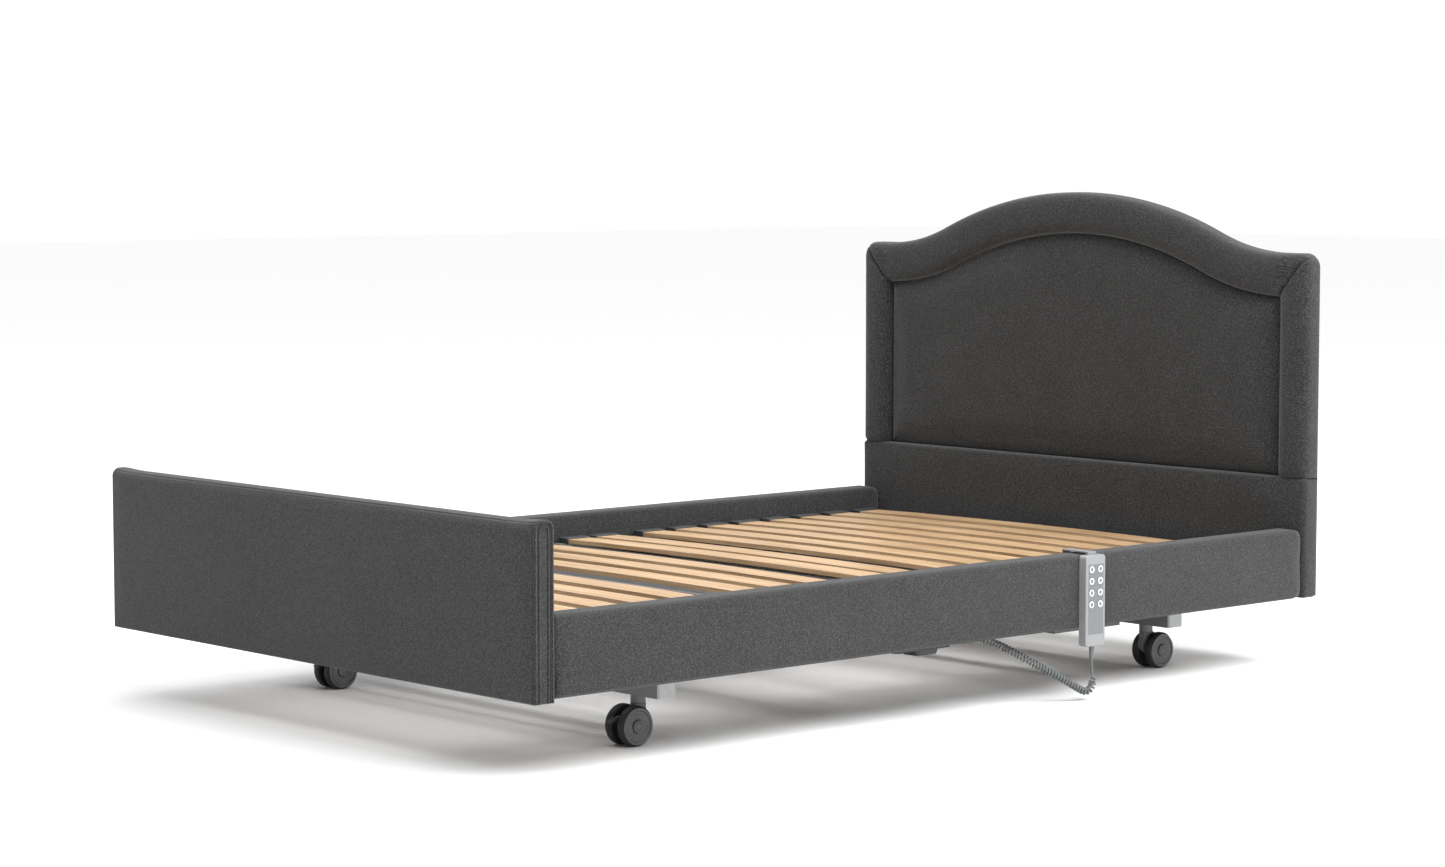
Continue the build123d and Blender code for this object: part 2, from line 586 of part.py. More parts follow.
ARCH_R = 1000.0  # top of the headboard
SWEEP_R = 466.0  # between the arch and a shoulder
BORDER_TOP = 91.0
BORDER_SIDE = 78.0
BACK_PANEL = 18.0
PAD_FRONT_Y = HALF_INNER
PANEL_FRONT_Y = HALF_LENGTH - BACK_PANEL


def headboard_outline(bottom, half_width, inset, corner):
    """Closed outline in XZ: straight sides, round corners, swept shoulders and an arched top.

    The arch and the sweeps keep their centres, so an inset outline is parallel to the outer one.
    """
    arch_z = HEADBOARD_PEAK - ARCH_R
    sweep_z = HEADBOARD_Z[1] + SWEEP_R
    turn = acos((sweep_z - arch_z) / (ARCH_R + SWEEP_R))
    sweep_x = (ARCH_R + SWEEP_R) * sin(turn)
    arch_r = ARCH_R - inset
    sweep_r = SWEEP_R + inset

    def on_sweep(angle):
        return (sweep_x - sweep_r * sin(angle), sweep_z - sweep_r * cos(angle))

    reach = half_width - corner
    end_turn = asin(max(0.0, (sweep_x - reach) / sweep_r))
    joint = (arch_r * sin(turn), arch_z + arch_r * cos(turn))
    end = on_sweep(end_turn)
    middle = on_sweep((turn + end_turn) / 2)
    edge_z = end[1] - corner
    bend = (reach + corner * sin(pi / 4), edge_z + corner * cos(pi / 4))
    with BuildLine() as outline:
        for side in (1, -1):
            arc = [(side * x, z) for x, z in (joint, middle, end)]
            ThreePointArc(*arc)
            if reach > end[0] + 0.01:
                Line((side * end[0], end[1]), (side * reach, end[1]))
            ThreePointArc((side * reach, end[1]), (side * bend[0], bend[1]), (side * half_width, edge_z))
            Line((side * half_width, edge_z), (side * half_width, bottom))
        Line((half_width, bottom), (-half_width, bottom))
        ThreePointArc((-joint[0], joint[1]), (0, arch_z + arch_r), joint)
    make_face(outline.edges())


XZ_FRONT = Plane.XZ.offset(-PANEL_FRONT_Y)  # its normal points to the foot end
PAD_DEPTH = PANEL_FRONT_Y - PAD_FRONT_Y
INNER_HALF = BOARD_HALF - BORDER_SIDE
with BuildPart() as headboard_panel:
    with BuildSketch(Plane.XZ.offset(-HALF_LENGTH)):
        headboard_outline(HEADBOARD_Z[0] + 3, BOARD_HALF - 3, 3, 27)
    extrude(amount=BACK_PANEL)
save(headboard_panel, "headboard_panel")

with BuildPart() as headboard_border:
    with BuildSketch(XZ_FRONT) as border_outline:
        headboard_outline(HEADBOARD_SEAM, BOARD_HALF, 0, 30)
    extrude(border_outline.sketch, amount=PAD_DEPTH)
    with BuildSketch(XZ_FRONT) as border_inside:
        headboard_outline(HEADBOARD_SEAM - 10, INNER_HALF, BORDER_TOP, 12)
    extrude(border_inside.sketch, amount=PAD_DEPTH, mode=Mode.SUBTRACT)
save(headboard_border, "headboard_border")

with BuildPart() as headboard_centre_pad:
    with BuildSketch(XZ_FRONT):
        headboard_outline(HEADBOARD_SEAM, INNER_HALF - 1, BORDER_TOP + 1, 11)
    extrude(amount=PAD_DEPTH - 6)
save(headboard_centre_pad, "headboard_centre_pad")

with BuildPart() as headboard_lower_pad:
    bar((-BOARD_HALF, BOARD_HALF), (PAD_FRONT_Y, PANEL_FRONT_Y), (HEADBOARD_Z[0], HEADBOARD_SEAM))
    fillet(headboard_lower_pad.edges().filter_by(Axis.Z).group_by(Axis.Y)[0], radius=9)
save(headboard_lower_pad, "headboard_lower_pad")

# ---------------------------------------------------------------- handset and its cord
HANDSET_X = (657.0, 677.0)
SHELL_SPLIT = 666.0
HANGER_HALF = 12.0
HANGER_Z = (RAIL_Z[1] + 0.5, RAIL_Z[1] + 3.0)
HANGER_LEG_X = (RAIL_IN - 4.0, RAIL_IN - 1.5)
HANGER_LEG = 35.0
KEYPAD_Z = (HANDSET_Z[0] + 24, HANDSET_Z[1] - 18)
KEYPAD_HALF = 22.0
KEYPAD_SINK = 1.2
BUTTON_Y = around(HANDSET_Y, 12.5)
BUTTON_ROWS = 4
BUTTON_PITCH = 23.0
BUTTON_Z = [HANDSET_Z[1] - 28 - BUTTON_PITCH * row for row in range(BUTTON_ROWS)]
BUTTON_R = 7.0
BUTTON_TRAVEL = 1.0
BUTTON_PLAY = 0.4


def handset_block(x):
    """Rounded block of the handset's outline between two x limits."""
    with BuildSketch(Plane.YZ.offset(x[0])) as outline:
        with Locations((HANDSET_Y, sum(HANDSET_Z) / 2)):
            RectangleRounded(2 * HANDSET_HALF, HANDSET_Z[1] - HANDSET_Z[0], 7)
    extrude(outline.sketch, amount=x[1] - x[0])


with BuildPart() as handset_back:
    handset_block((HANDSET_X[0], SHELL_SPLIT))
    chamfer(handset_back.faces().sort_by(Axis.X)[0].edges(), length=1.5)
    # hanger over the rail: riser, strap and a short leg inside the rail
    hanger_y = around(HANDSET_Y, HANGER_HALF)
    bar((SHELL_SPLIT - 6, SHELL_SPLIT), hanger_y, (HANDSET_Z[1] - 1, HANGER_Z[1]))
    bar((HANGER_LEG_X[0], SHELL_SPLIT), hanger_y, HANGER_Z)
    bar(HANGER_LEG_X, hanger_y, (HANGER_Z[1] - HANGER_LEG, HANGER_Z[1]))
save(handset_back, "handset_back")

button_places = [(button_y, button_z) for button_z in BUTTON_Z for button_y in BUTTON_Y]
with BuildPart() as handset_front:
    handset_block((SHELL_SPLIT, HANDSET_X[1]))
    fillet(handset_front.faces().sort_by(Axis.X)[-1].edges(), radius=2.5)
    keypad_y = (HANDSET_Y - KEYPAD_HALF, HANDSET_Y + KEYPAD_HALF)
    bar((HANDSET_X[1] - KEYPAD_SINK, HANDSET_X[1] + 1), keypad_y, KEYPAD_Z, mode=Mode.SUBTRACT)
    for place in button_places:
        rod_x((SHELL_SPLIT + 2, HANDSET_X[1] + 1), *place, BUTTON_R + BUTTON_PLAY, mode=Mode.SUBTRACT)
save(handset_front, "handset_front")

with BuildPart() as handset_keypad:
    bar((HANDSET_X[1] - KEYPAD_SINK, HANDSET_X[1] - 0.2), keypad_y, KEYPAD_Z)
    for place in button_places:
        rod_x((HANDSET_X[1] - 2, HANDSET_X[1] + 1), *place, BUTTON_R + BUTTON_PLAY, mode=Mode.SUBTRACT)
save(handset_keypad, "handset_keypad")

BUTTON_NAMES = ("head_up", "head_down", "leg_up", "leg_down", "bed_up", "bed_down", "flat", "lounge")
for button_name, place in zip(BUTTON_NAMES, button_places):
    with BuildPart() as button:
        rod_x((SHELL_SPLIT + 2 + BUTTON_TRAVEL + 0.3, HANDSET_X[1] + 0.9), *place, BUTTON_R)
        fillet(button.faces().sort_by(Axis.X)[-1].edges(), radius=0.6)
    save(button, f"button_{button_name}")

CORD_X = 667.0
RELIEF_BOTTOM = 82.0
RELIEF_R = (3.6, 5.5)
with BuildPart() as strain_relief:
    with BuildSketch(Plane.XY.offset(RELIEF_BOTTOM)) as tip:
        with Locations((CORD_X, HANDSET_Y)):
            Circle(RELIEF_R[0])
    with BuildSketch(Plane.XY.offset(HANDSET_Z[0])) as root:
        with Locations((CORD_X, HANDSET_Y)):
            Circle(RELIEF_R[1])
    loft([tip.sketch, root.sketch])
save(strain_relief, "strain_relief")

PLUG_Y = 54.0
PLUG_X = 556.0
PLUG_Z = 142.0
LEAD_ROUTE = [
    (CORD_X, HANDSET_Y, RELIEF_BOTTOM),
    (CORD_X, HANDSET_Y, 63.8),
    (CORD_X, 346.8, 46),
]
COIL_ROUTE = [
    (CORD_X, 346.8, 46),
    (CORD_X, 348.34, 36.21),
    (666.5, 344.6, 25),
    (665.5, 334.9, 18.5),
    (663.5, 323, 19.6),
    (659, 302.6, 32),
    (650, 272, 50),
    (638, 243, 67),
    (623, 217, 84),
    (607, 192, 101),
    (591, 166, 117),
    (576, 138, 130),
    (563, 108, 139),
    (PLUG_X, 80, PLUG_Z),
    (PLUG_X, PLUG_Y, PLUG_Z),
]


def corner_radii(route):
    """Largest tangent radius for each corner of a route."""
    radii = []
    for before, corner, after in zip(route, route[1:], route[2:]):
        run_in = Vector(*corner) - Vector(*before)
        run_out = Vector(*after) - Vector(*corner)
        turn = radians(run_in.get_angle(run_out))
        radii.append(0.45 * min(run_in.length, run_out.length) / tan(turn / 2))
    return radii


def cord_tube(name, route, diameter):
    """Round tube along straight runs joined by tangent arcs."""
    radii = corner_radii(route)
    with BuildPart() as tube:
        with BuildLine() as path:
            FilletPolyline(*route, radius=radii)
        wire = path.wire()
        with BuildSketch(Plane(origin=wire @ 0, z_dir=wire % 0)):
            Circle(diameter / 2)
        sweep(transition=Transition.ROUND)
    save(tube, name)
    length = wire.length
    print(name, "length", round(length, 1), "radii", [round(r) for r in radii])
    print("  volume ratio", round(tube.part.volume / (pi * diameter**2 / 4 * length), 4))


cord_tube("cord_lead", LEAD_ROUTE, CORD_D)
cord_tube("cord_coil", COIL_ROUTE, COIL_D)

PLUG_BODY = (8.0, 18.0)  # radius, length
PLUG_COLLAR = (10.0, 6.0)
plug_step = PLUG_Y - PLUG_BODY[1]
plug_end = plug_step - PLUG_COLLAR[1]
with BuildPart() as cord_plug:
    rod_between((PLUG_X, PLUG_Y, PLUG_Z), (PLUG_X, plug_step, PLUG_Z), PLUG_BODY[0])
    rod_between((PLUG_X, plug_step, PLUG_Z), (PLUG_X, plug_end, PLUG_Z), PLUG_COLLAR[0])
save(cord_plug, "cord_plug")

BOX_X = (500.0, 590.0)
BOX_Y = (-120.0, plug_end)
BOX_BOTTOM = 128.0
HUMP_PLACE = (556.0, -22.0)
HUMP_SIZE = (50.0, 64.0)
HUMP_DEPTH = 12.0
with BuildPart() as control_box:
    bar(BOX_X, BOX_Y, (BOX_BOTTOM, CROSS_Z[0]))
    fillet(control_box.edges().filter_by(Axis.Z), radius=8)
    with BuildSketch(Plane.XY.offset(BOX_BOTTOM)) as hump:
        with Locations(HUMP_PLACE):
            RectangleRounded(*HUMP_SIZE, 12)
    extrude(hump.sketch, amount=-HUMP_DEPTH, taper=20)
    bar((CHASSIS_X[1], BOX_X[0] + 10), (-60, 0), (CROSS_Z[0] - 4, CROSS_Z[0]))
save(control_box, "control_box")
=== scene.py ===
"""Looks of the adjustable bed base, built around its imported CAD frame.

Units are metres, in the frame's own axes: X across the bed, Y towards the head end, Z up.
Upholstery, cord, castor discs, slat holders and handset print are made here as meshes.
"""

import json
from math import acos, asin, cos, pi, radians, sin

import bmesh
import bpy
import numpy as np
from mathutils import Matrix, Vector


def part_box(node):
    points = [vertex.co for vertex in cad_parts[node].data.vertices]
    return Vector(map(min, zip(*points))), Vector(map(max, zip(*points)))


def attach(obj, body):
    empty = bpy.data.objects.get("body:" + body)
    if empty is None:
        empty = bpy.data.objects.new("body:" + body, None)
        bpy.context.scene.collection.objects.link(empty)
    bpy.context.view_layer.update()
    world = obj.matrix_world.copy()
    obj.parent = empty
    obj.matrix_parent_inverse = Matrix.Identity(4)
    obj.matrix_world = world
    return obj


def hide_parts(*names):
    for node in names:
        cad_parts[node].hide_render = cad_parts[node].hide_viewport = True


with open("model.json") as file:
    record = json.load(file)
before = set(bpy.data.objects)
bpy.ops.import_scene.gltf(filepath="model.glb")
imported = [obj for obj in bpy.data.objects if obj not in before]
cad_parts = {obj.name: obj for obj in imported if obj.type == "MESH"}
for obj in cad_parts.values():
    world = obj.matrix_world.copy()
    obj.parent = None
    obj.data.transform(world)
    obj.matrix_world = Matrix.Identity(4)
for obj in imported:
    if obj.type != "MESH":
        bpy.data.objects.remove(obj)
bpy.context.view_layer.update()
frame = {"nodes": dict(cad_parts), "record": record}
scene = bpy.context.scene
NODES = frame["nodes"]
SLOT_OF = {part["node"]: part["material_slot"] for part in frame["record"]["subparts"]}
BODY_OF = {node: body for body, nodes in frame["record"]["behaviour"]["bodies"].items() for node in nodes}
CASTORS = ("foot_left", "foot_right", "head_left", "head_right")
BUTTONS = ("head_up", "head_down", "leg_up", "leg_down", "bed_up", "bed_down", "flat", "lounge")
MM = 0.001
WEAVE_UV = "weave"

# ---------------------------------------------------------------- camera
# Recovered from the straight edges of the rail and both boards.
CAMERA_PLACE = (5.2145, -4.7211, 1.0802)
CAMERA_TURN = radians(48.03)
CAMERA_TILT = radians(4.68)
CAMERA_LENS = 86.58

camera_data = bpy.data.cameras.new("camera")
camera_data.lens = CAMERA_LENS
camera_data.sensor_width = 36.0
camera_data.clip_end = 100.0
camera = bpy.data.objects.new("camera", camera_data)
camera.location = CAMERA_PLACE
camera.rotation_euler = (pi / 2 - CAMERA_TILT, 0.0, CAMERA_TURN)
scene.collection.objects.link(camera)
scene.camera = camera


# ---------------------------------------------------------------- materials
class Surface:
    """A Principled material, with short calls that add nodes to it."""

    def __init__(self, name, **sockets):
        self.material = bpy.data.materials.new(name)
        self.material.use_nodes = True
        self.tree = self.material.node_tree
        self.shader = self.tree.nodes["Principled BSDF"]
        for socket, value in sockets.items():
            self.shader.inputs[socket.replace("_", " ")].default_value = value

    def node(self, kind, inputs=(), **settings):
        made = self.tree.nodes.new("ShaderNode" + kind)
        for setting, value in settings.items():
            setattr(made, setting, value)
        for socket, value in dict(inputs).items():
            if isinstance(value, bpy.types.NodeSocket):
                self.tree.links.new(value, made.inputs[socket])
            else:
                made.inputs[socket].default_value = value
        return made

    def math(self, operation, a, b=0.0, c=0.0):
        return self.node("Math", {0: a, 1: b, 2: c}, operation=operation).outputs[0]

    def place(self, stretch=(1.0, 1.0, 1.0)):
        """Object coordinates, stretched."""
        source = self.node("TexCoord").outputs["Object"]
        return self.node("Mapping", {"Vector": source, "Scale": stretch}).outputs[0]

    def noise(self, scale, detail=2.0, vector=None, roughness=0.5):
        if vector is None:
            vector = self.place()
        inputs = {"Vector": vector, "Scale": scale, "Detail": detail, "Roughness": roughness}
        return self.node("TexNoise", inputs).outputs["Fac"]

    def ramp(self, factor, *stops):
        """Colour ramp of (position, grey or colour) stops."""
        made = self.node("ValToRGB", {"Fac": factor})
        elements = made.color_ramp.elements
        while len(elements) < len(stops):
            elements.new(0.5)
        for element, (position, colour) in zip(elements, stops):
            element.position = position
            element.color = (*(colour if isinstance(colour, tuple) else (colour,) * 3), 1.0)
        return made.outputs["Color"]

    def blend(self, factor, a, b, mode="MIX"):
        """Mix of two colours."""
        made = self.node("Mix", data_type="RGBA", blend_type=mode)
        for index, value in ((0, factor), (6, a), (7, b)):
            if isinstance(value, bpy.types.NodeSocket):
                self.tree.links.new(value, made.inputs[index])
            else:
                made.inputs[index].default_value = value if index == 0 else (*value, 1.0)
        return made.outputs[2]

    def bump(self, height, distance, strength=1.0, under=None):
        inputs = {"Height": height, "Distance": distance, "Strength": strength}
        if under is not None:
            inputs["Normal"] = under
        return self.node("Bump", inputs).outputs["Normal"]

    def finish(self, colour=None, roughness=None, normal=None):
        for socket, value in (("Base Color", colour), ("Roughness", roughness), ("Normal", normal)):
            if value is not None:
                self.tree.links.new(value, self.shader.inputs[socket])
        return self.material


CHARCOAL_THREAD = 1.9 * MM
LINING_THREAD = 0.8 * MM


def fabric(name, dark, middle, light, thread):
    """Plain weave of slubbed two-tone yarn. It reads the weave UV map, which is in metres."""
    s = Surface(name, Roughness=0.92, Sheen_Weight=0.22, Sheen_Roughness=0.45)
    s.shader.inputs["Specular IOR Level"].default_value = 0.18
    uv = s.node("UVMap", uv_map=WEAVE_UV).outputs[0]
    waver = s.node("TexNoise", {"Vector": uv, "Scale": 60.0, "Detail": 1.0}).outputs["Color"]
    waver = s.node("VectorMath", {0: waver, 1: (0.5, 0.5, 0.5)}, operation="SUBTRACT").outputs[0]
    waver = s.node("VectorMath", {0: waver, "Scale": 0.9 * thread}, operation="SCALE").outputs[0]
    uv = s.node("VectorMath", {0: uv, 1: waver}, operation="ADD").outputs[0]
    cells = s.node("VectorMath", {0: uv, "Scale": 1 / thread}, operation="SCALE").outputs[0]
    split = s.node("SeparateXYZ", {0: cells}).outputs
    u, v = split[0], split[1]
    u_cell = s.math("FLOOR", u)
    v_cell = s.math("FLOOR", v)

    def thread_height(across, along, cell, sign):
        ridge = s.math("ABSOLUTE", s.math("SINE", s.math("MULTIPLY", across, pi)))
        phase = s.math("MULTIPLY", s.math("ADD", along, cell), pi)
        lift = s.math("MULTIPLY_ADD", s.math("SINE", phase), 0.4 * sign, 0.6)
        return s.math("MULTIPLY", ridge, lift)

    def yarn(cell, along, seed):
        """Slubs: colour that changes from thread to thread and slowly along each one."""
        across = s.math("MULTIPLY", cell, 0.73)
        place = s.node("CombineXYZ", {0: across, 1: s.math("MULTIPLY", along, 0.5), 2: seed}).outputs[0]
        return s.node("TexNoise", {"Vector": place, "Scale": 1.0, "Detail": 2.0}).outputs["Fac"]

    warp = thread_height(u, v, u_cell, 1.0)
    weft = thread_height(v, u, v_cell, -1.0)
    over = s.math("GREATER_THAN", warp, weft)
    height = s.math("MAXIMUM", warp, weft)
    tone = s.node("Mix", {0: over, 2: yarn(v_cell, u, 3.1), 3: yarn(u_cell, v, 11.7)}).outputs[0]
    colour = s.ramp(tone, (0.30, dark), (0.50, middle), (0.68, light))
    shade = s.ramp(height, (0.0, 0.45), (0.6, 1.0))
    colour = s.blend(1.0, colour, shade, "MULTIPLY")
    mottle = s.ramp(s.noise(9.0, 3.0), (0.3, 0.90), (0.7, 1.06))
    colour = s.blend(1.0, colour, mottle, "MULTIPLY")
    fuzz = s.node("TexNoise", {"Vector": uv, "Scale": 2200.0, "Detail": 2.0}).outputs["Fac"]
    normal = s.bump(height, 0.45 * MM, 0.8)
    return s.finish(colour, normal=s.bump(fuzz, 0.12 * MM, 0.5, normal))


def moulded(name, colour, roughness=0.45, grain=0.05, scuff=0.12):
    """Injection-moulded plastic: fine spark-erosion grain and faint handling marks."""
    s = Surface(name)
    wear = s.noise(38.0, 5.0, roughness=0.65)
    lighter = tuple(min(1.0, c * 1.35 + 0.012) for c in colour)
    tint = s.blend(s.ramp(wear, (0.55, 0.0), (0.75, scuff * 3)), colour, lighter)
    rough = s.ramp(wear, (0.3, roughness - 0.08), (0.75, roughness + 0.12))
    return s.finish(tint, rough, s.bump(s.noise(2600.0, 1.0), grain * MM, 0.5))


def painted_steel(name, colour):
    """Powder coat: orange-peel surface, slight tone changes and dust."""
    s = Surface(name, Metallic=0.0, Coat_Weight=0.15, Coat_Roughness=0.35)
    cloud = s.noise(6.0, 4.0)
    darker = tuple(c * 0.9 for c in colour)
    tint = s.blend(s.ramp(cloud, (0.35, 0.0), (0.7, 1.0)), darker, colour)
    rough = s.ramp(s.noise(25.0, 4.0), (0.3, 0.36), (0.7, 0.52))
    return s.finish(tint, rough, s.bump(s.noise(900.0, 2.0), 0.06 * MM, 0.6))


def drawn_steel(name, colour):
    """Bright drawn steel with fine lines along its length."""
    s = Surface(name, Metallic=1.0)
    lines = s.noise(60.0, 3.0, s.place((60.0, 1.0, 60.0)))
    tint = s.blend(lines, tuple(c * 0.85 for c in colour), colour)
    return s.finish(tint, s.ramp(lines, (0.3, 0.22), (0.7, 0.38)), s.bump(lines, 0.02 * MM, 0.4))


def lacquered_beech(name):
    """Laminated beech slat: long grain along X, short dark pores, satin lacquer."""
    s = Surface(name, Coat_Weight=0.25, Coat_Roughness=0.25)
    grain = s.noise(5.0, 6.0, s.place((0.8, 22.0, 22.0)), 0.6)
    dark, middle, light = (0.31, 0.185, 0.09), (0.46, 0.30, 0.165), (0.57, 0.41, 0.25)
    tint = s.ramp(grain, (0.30, dark), (0.52, middle), (0.72, light))
    pores = s.ramp(s.noise(40.0, 2.0, s.place((6.0, 60.0, 60.0))), (0.62, 1.0), (0.70, 0.72))
    tint = s.blend(1.0, tint, pores, "MULTIPLY")
    return s.finish(tint, s.ramp(grain, (0.3, 0.34), (0.7, 0.46)), s.bump(grain, 0.08 * MM, 0.4))


def rubber(name, colour, dust=(0.10, 0.10, 0.098)):
    """Matt rubber or soft plastic with floor dust worn into it."""
    s = Surface(name)
    cloud = s.noise(70.0, 5.0, roughness=0.7)
    tint = s.blend(s.ramp(cloud, (0.50, 0.0), (0.80, 0.5)), colour, dust)
    rough = s.ramp(cloud, (0.3, 0.48), (0.7, 0.72))
    return s.finish(tint, rough, s.bump(s.noise(1500.0, 2.0), 0.05 * MM, 0.5))


CHARCOAL_YARNS = ((0.0092, 0.0094, 0.0097), (0.0258, 0.0261, 0.0265), (0.066, 0.0667, 0.0675))
LINING_YARNS = ((0.010, 0.010, 0.011), (0.017, 0.017, 0.018), (0.028, 0.028, 0.030))
CHARCOAL = fabric("charcoal_weave", *CHARCOAL_YARNS, CHARCOAL_THREAD)
# black lining on the back of the headboard panel; it also colours the dark cords that are painted shade
# in the footboard groove and the mitre creases
LINING_AND_SHADE = fabric("black_lining_and_shade", *LINING_YARNS, LINING_THREAD)
DISC_GREY = moulded("castor_disc_grey", (0.105, 0.110, 0.110), 0.42, scuff=0.3)
PALE_PRINT = moulded("pale_print", (0.80, 0.81, 0.81), 0.35)
DARK_PRINT = moulded("dark_print", (0.085, 0.088, 0.090), 0.5)
FINISHES = {
    "charcoal_fabric": CHARCOAL,
    "lining_fabric": LINING_AND_SHADE,
    "grey_steel": painted_steel("grey_powder_coat", (0.125, 0.13, 0.135)),
    "light_caps": moulded("light_cap_plastic", (0.42, 0.43, 0.43), 0.45),
    "beech": lacquered_beech("lacquered_beech"),
    "motor_plastic": moulded("black_motor_plastic", (0.022, 0.023, 0.024), 0.5, grain=0.1),
    "rod_steel": drawn_steel("bright_steel", (0.62, 0.62, 0.61)),
    "castor_grey": moulded("castor_fork_grey", (0.115, 0.118, 0.118), 0.45),
    "castor_pedal": moulded("castor_pedal_black", (0.030, 0.030, 0.031), 0.4),
    "castor_tyre": rubber("castor_tread", (0.012, 0.012, 0.012), (0.045, 0.045, 0.044)),
    "handset_plastic": moulded("handset_shell", (0.215, 0.22, 0.225), 0.38, scuff=0.05),
    "keypad": moulded("keypad_membrane", (0.135, 0.14, 0.145), 0.42, grain=0.03),
    "button_white": moulded("button_rubber", (0.155, 0.16, 0.165), 0.5),
    "cord_rubber": rubber("cord_jacket", (0.105, 0.118, 0.115), (0.17, 0.18, 0.178)),
}
for node_name, node in NODES.items():
    node.data.materials.clear()
    node.data.materials.append(FINISHES[SLOT_OF[node_name]])


# ---------------------------------------------------------------- mesh helpers
MERGE_GAP = 1e-6
SLIVER = 1e-7


def mesh_from_grids(name, grids, material):
    """One smooth mesh from grids of points (n, m, 3), each with the weave map's metres (n, m, 2)."""
    bm = bmesh.new()
    layer = bm.loops.layers.uv.new(WEAVE_UV)
    for points, uv in grids:
        rows = [[bm.verts.new(point) for point in row] for row in points]
        for i in range(len(rows) - 1):
            for j in range(len(rows[0]) - 1):
                corners = ((i, j), (i + 1, j), (i + 1, j + 1), (i, j + 1))
                face = bm.faces.new([rows[a][b] for a, b in corners])
                for loop, (a, b) in zip(face.loops, corners):
                    loop[layer].uv = uv[a][b]
    bmesh.ops.remove_doubles(bm, verts=bm.verts, dist=MERGE_GAP)
    bmesh.ops.dissolve_degenerate(bm, edges=bm.edges, dist=SLIVER)
    bmesh.ops.recalc_face_normals(bm, faces=bm.faces)
    mesh = bpy.data.meshes.new(name)
    bm.to_mesh(mesh)
    bm.free()
    mesh.shade_smooth()
    mesh.materials.append(material)
    made = bpy.data.objects.new(name, mesh)
    scene.collection.objects.link(made)
    return made


def lay_uv(points, first, second):
    """Weave map that reads two of the points' coordinates."""
    return np.stack([points[..., first], points[..., second]], -1)


BEND_STEPS = 5


def axis_lines(low, high, radius, step):
    """Places along one side of a rounded slab: close together over its two round edges."""
    bend = radius * np.tan(np.linspace(0, pi / 4, BEND_STEPS + 1)[1:])
    count = max(2, round((high - low - 2 * radius) / step) + 1)
    inner = np.linspace(low + radius, high - radius, count)
    return np.concatenate([inner[0] - bend[::-1], inner, inner[-1] + bend])


def slab_grids(low, high, radius, step):
    """Six grids of a box with round edges."""
    low, high = np.array(low), np.array(high)
    lines = [axis_lines(low[k], high[k], radius, step) for k in range(3)]
    grids = []
    for normal in range(3):
        i, j = (k for k in range(3) if k != normal)
        for side in (low[normal], high[normal]):
            points = np.zeros((len(lines[i]), len(lines[j]), 3))
            points[..., i] = lines[i][:, None]
            points[..., j] = lines[j][None, :]
            points[..., normal] = side
            core = np.clip(points, low + radius, high - radius)
            out = points - core
            length = np.linalg.norm(out, axis=-1, keepdims=True)
            grids.append((core + radius * out / length, lay_uv(points, i, j)))
    return grids


def round_corner(points, centre, direction, radius, first, second):
    """Rounds one corner of a slab: a square stretch beyond centre becomes a quarter disc."""
    a = (points[..., first] - centre[0]) * direction[0]
    b = (points[..., second] - centre[1]) * direction[1]
    inside = (a > 0) & (b > 0)
    scale = np.where(inside, np.maximum(a, b) / np.maximum(np.hypot(a, b), 1e-9), 1.0)
    points[..., first] = np.where(inside, centre[0] + direction[0] * a * scale, points[..., first])
    points[..., second] = np.where(inside, centre[1] + direction[1] * b * scale, points[..., second])


def coordinates(mesh):
    """A mesh's vertices, one row each."""
    flat = np.zeros(len(mesh.vertices) * 3, np.float32)
    mesh.vertices.foreach_get("co", flat)
    return flat.reshape(-1, 3).astype(float)


SWELL_FRAMES = 16


def swell(piece, held, pressure, cap):
    """Foam pushes the fabric out: a cloth run with pressure, fixed at the held vertices.

    No vertex moves further than cap, and the moves fade smoothly into that limit.
    """
    rest = coordinates(piece.data)
    group = piece.vertex_groups.new(name="held")
    group.add([int(i) for i in np.flatnonzero(held(rest))], 1.0, "REPLACE")
    cloth = piece.modifiers.new("swell", "CLOTH")
    settings = cloth.settings
    settings.quality = 5
    settings.mass = 0.3
    settings.tension_stiffness = 18.0
    settings.compression_stiffness = 18.0
    settings.shear_stiffness = 6.0
    settings.bending_stiffness = 4.0
    settings.vertex_group_mass = "held"
    settings.use_pressure = True
    settings.uniform_pressure_force = pressure
    settings.effector_weights.gravity = 0.0
    cloth.point_cache.frame_start = 1
    cloth.point_cache.frame_end = SWELL_FRAMES
    for step in range(1, SWELL_FRAMES + 1):
        scene.frame_set(step)
    evaluated = piece.evaluated_get(bpy.context.evaluated_depsgraph_get())
    moved = coordinates(evaluated.data) - rest
    piece.modifiers.remove(cloth)
    piece.vertex_groups.remove(group)
    scene.frame_set(1)
    distance = np.linalg.norm(moved, axis=1, keepdims=True)
    limited = cap * np.tanh(distance / cap)
    result = rest + moved * limited / np.maximum(distance, 1e-9)
    piece.data.vertices.foreach_set("co", result.astype(np.float32).ravel())
    piece.data.update()


def upholstered(piece, replaced):
    """A padded piece of the deck, in place of one CAD sub-part."""
    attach(piece, "deck")
    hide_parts(replaced)


def distances(path):
    """How far along a path each of its points is."""
    return np.concatenate([[0.0], np.cumsum(np.linalg.norm(np.diff(path, axis=0), axis=1))])


def tube_grid(path, radius, sides=10):
    """Grid of a round tube along a path, with its weave map."""
    path = np.array(path, float)
    ahead = np.gradient(path, axis=0)
    ahead /= np.linalg.norm(ahead, axis=1, keepdims=True)
    normal = np.cross(ahead[0], (0.3, 0.5, 0.81))
    along = distances(path)
    angles = np.linspace(0, 2 * pi, sides + 1)
    rows = []
    for point, direction in zip(path, ahead):
        normal = normal - direction * normal.dot(direction)
        normal /= np.linalg.norm(normal)
        other = np.cross(direction, normal)
        rows.append([point + radius * (cos(a) * normal + sin(a) * other) for a in angles])
    uv = np.stack(np.meshgrid(along, angles * radius, indexing="ij"), -1)
    return np.array(rows), uv


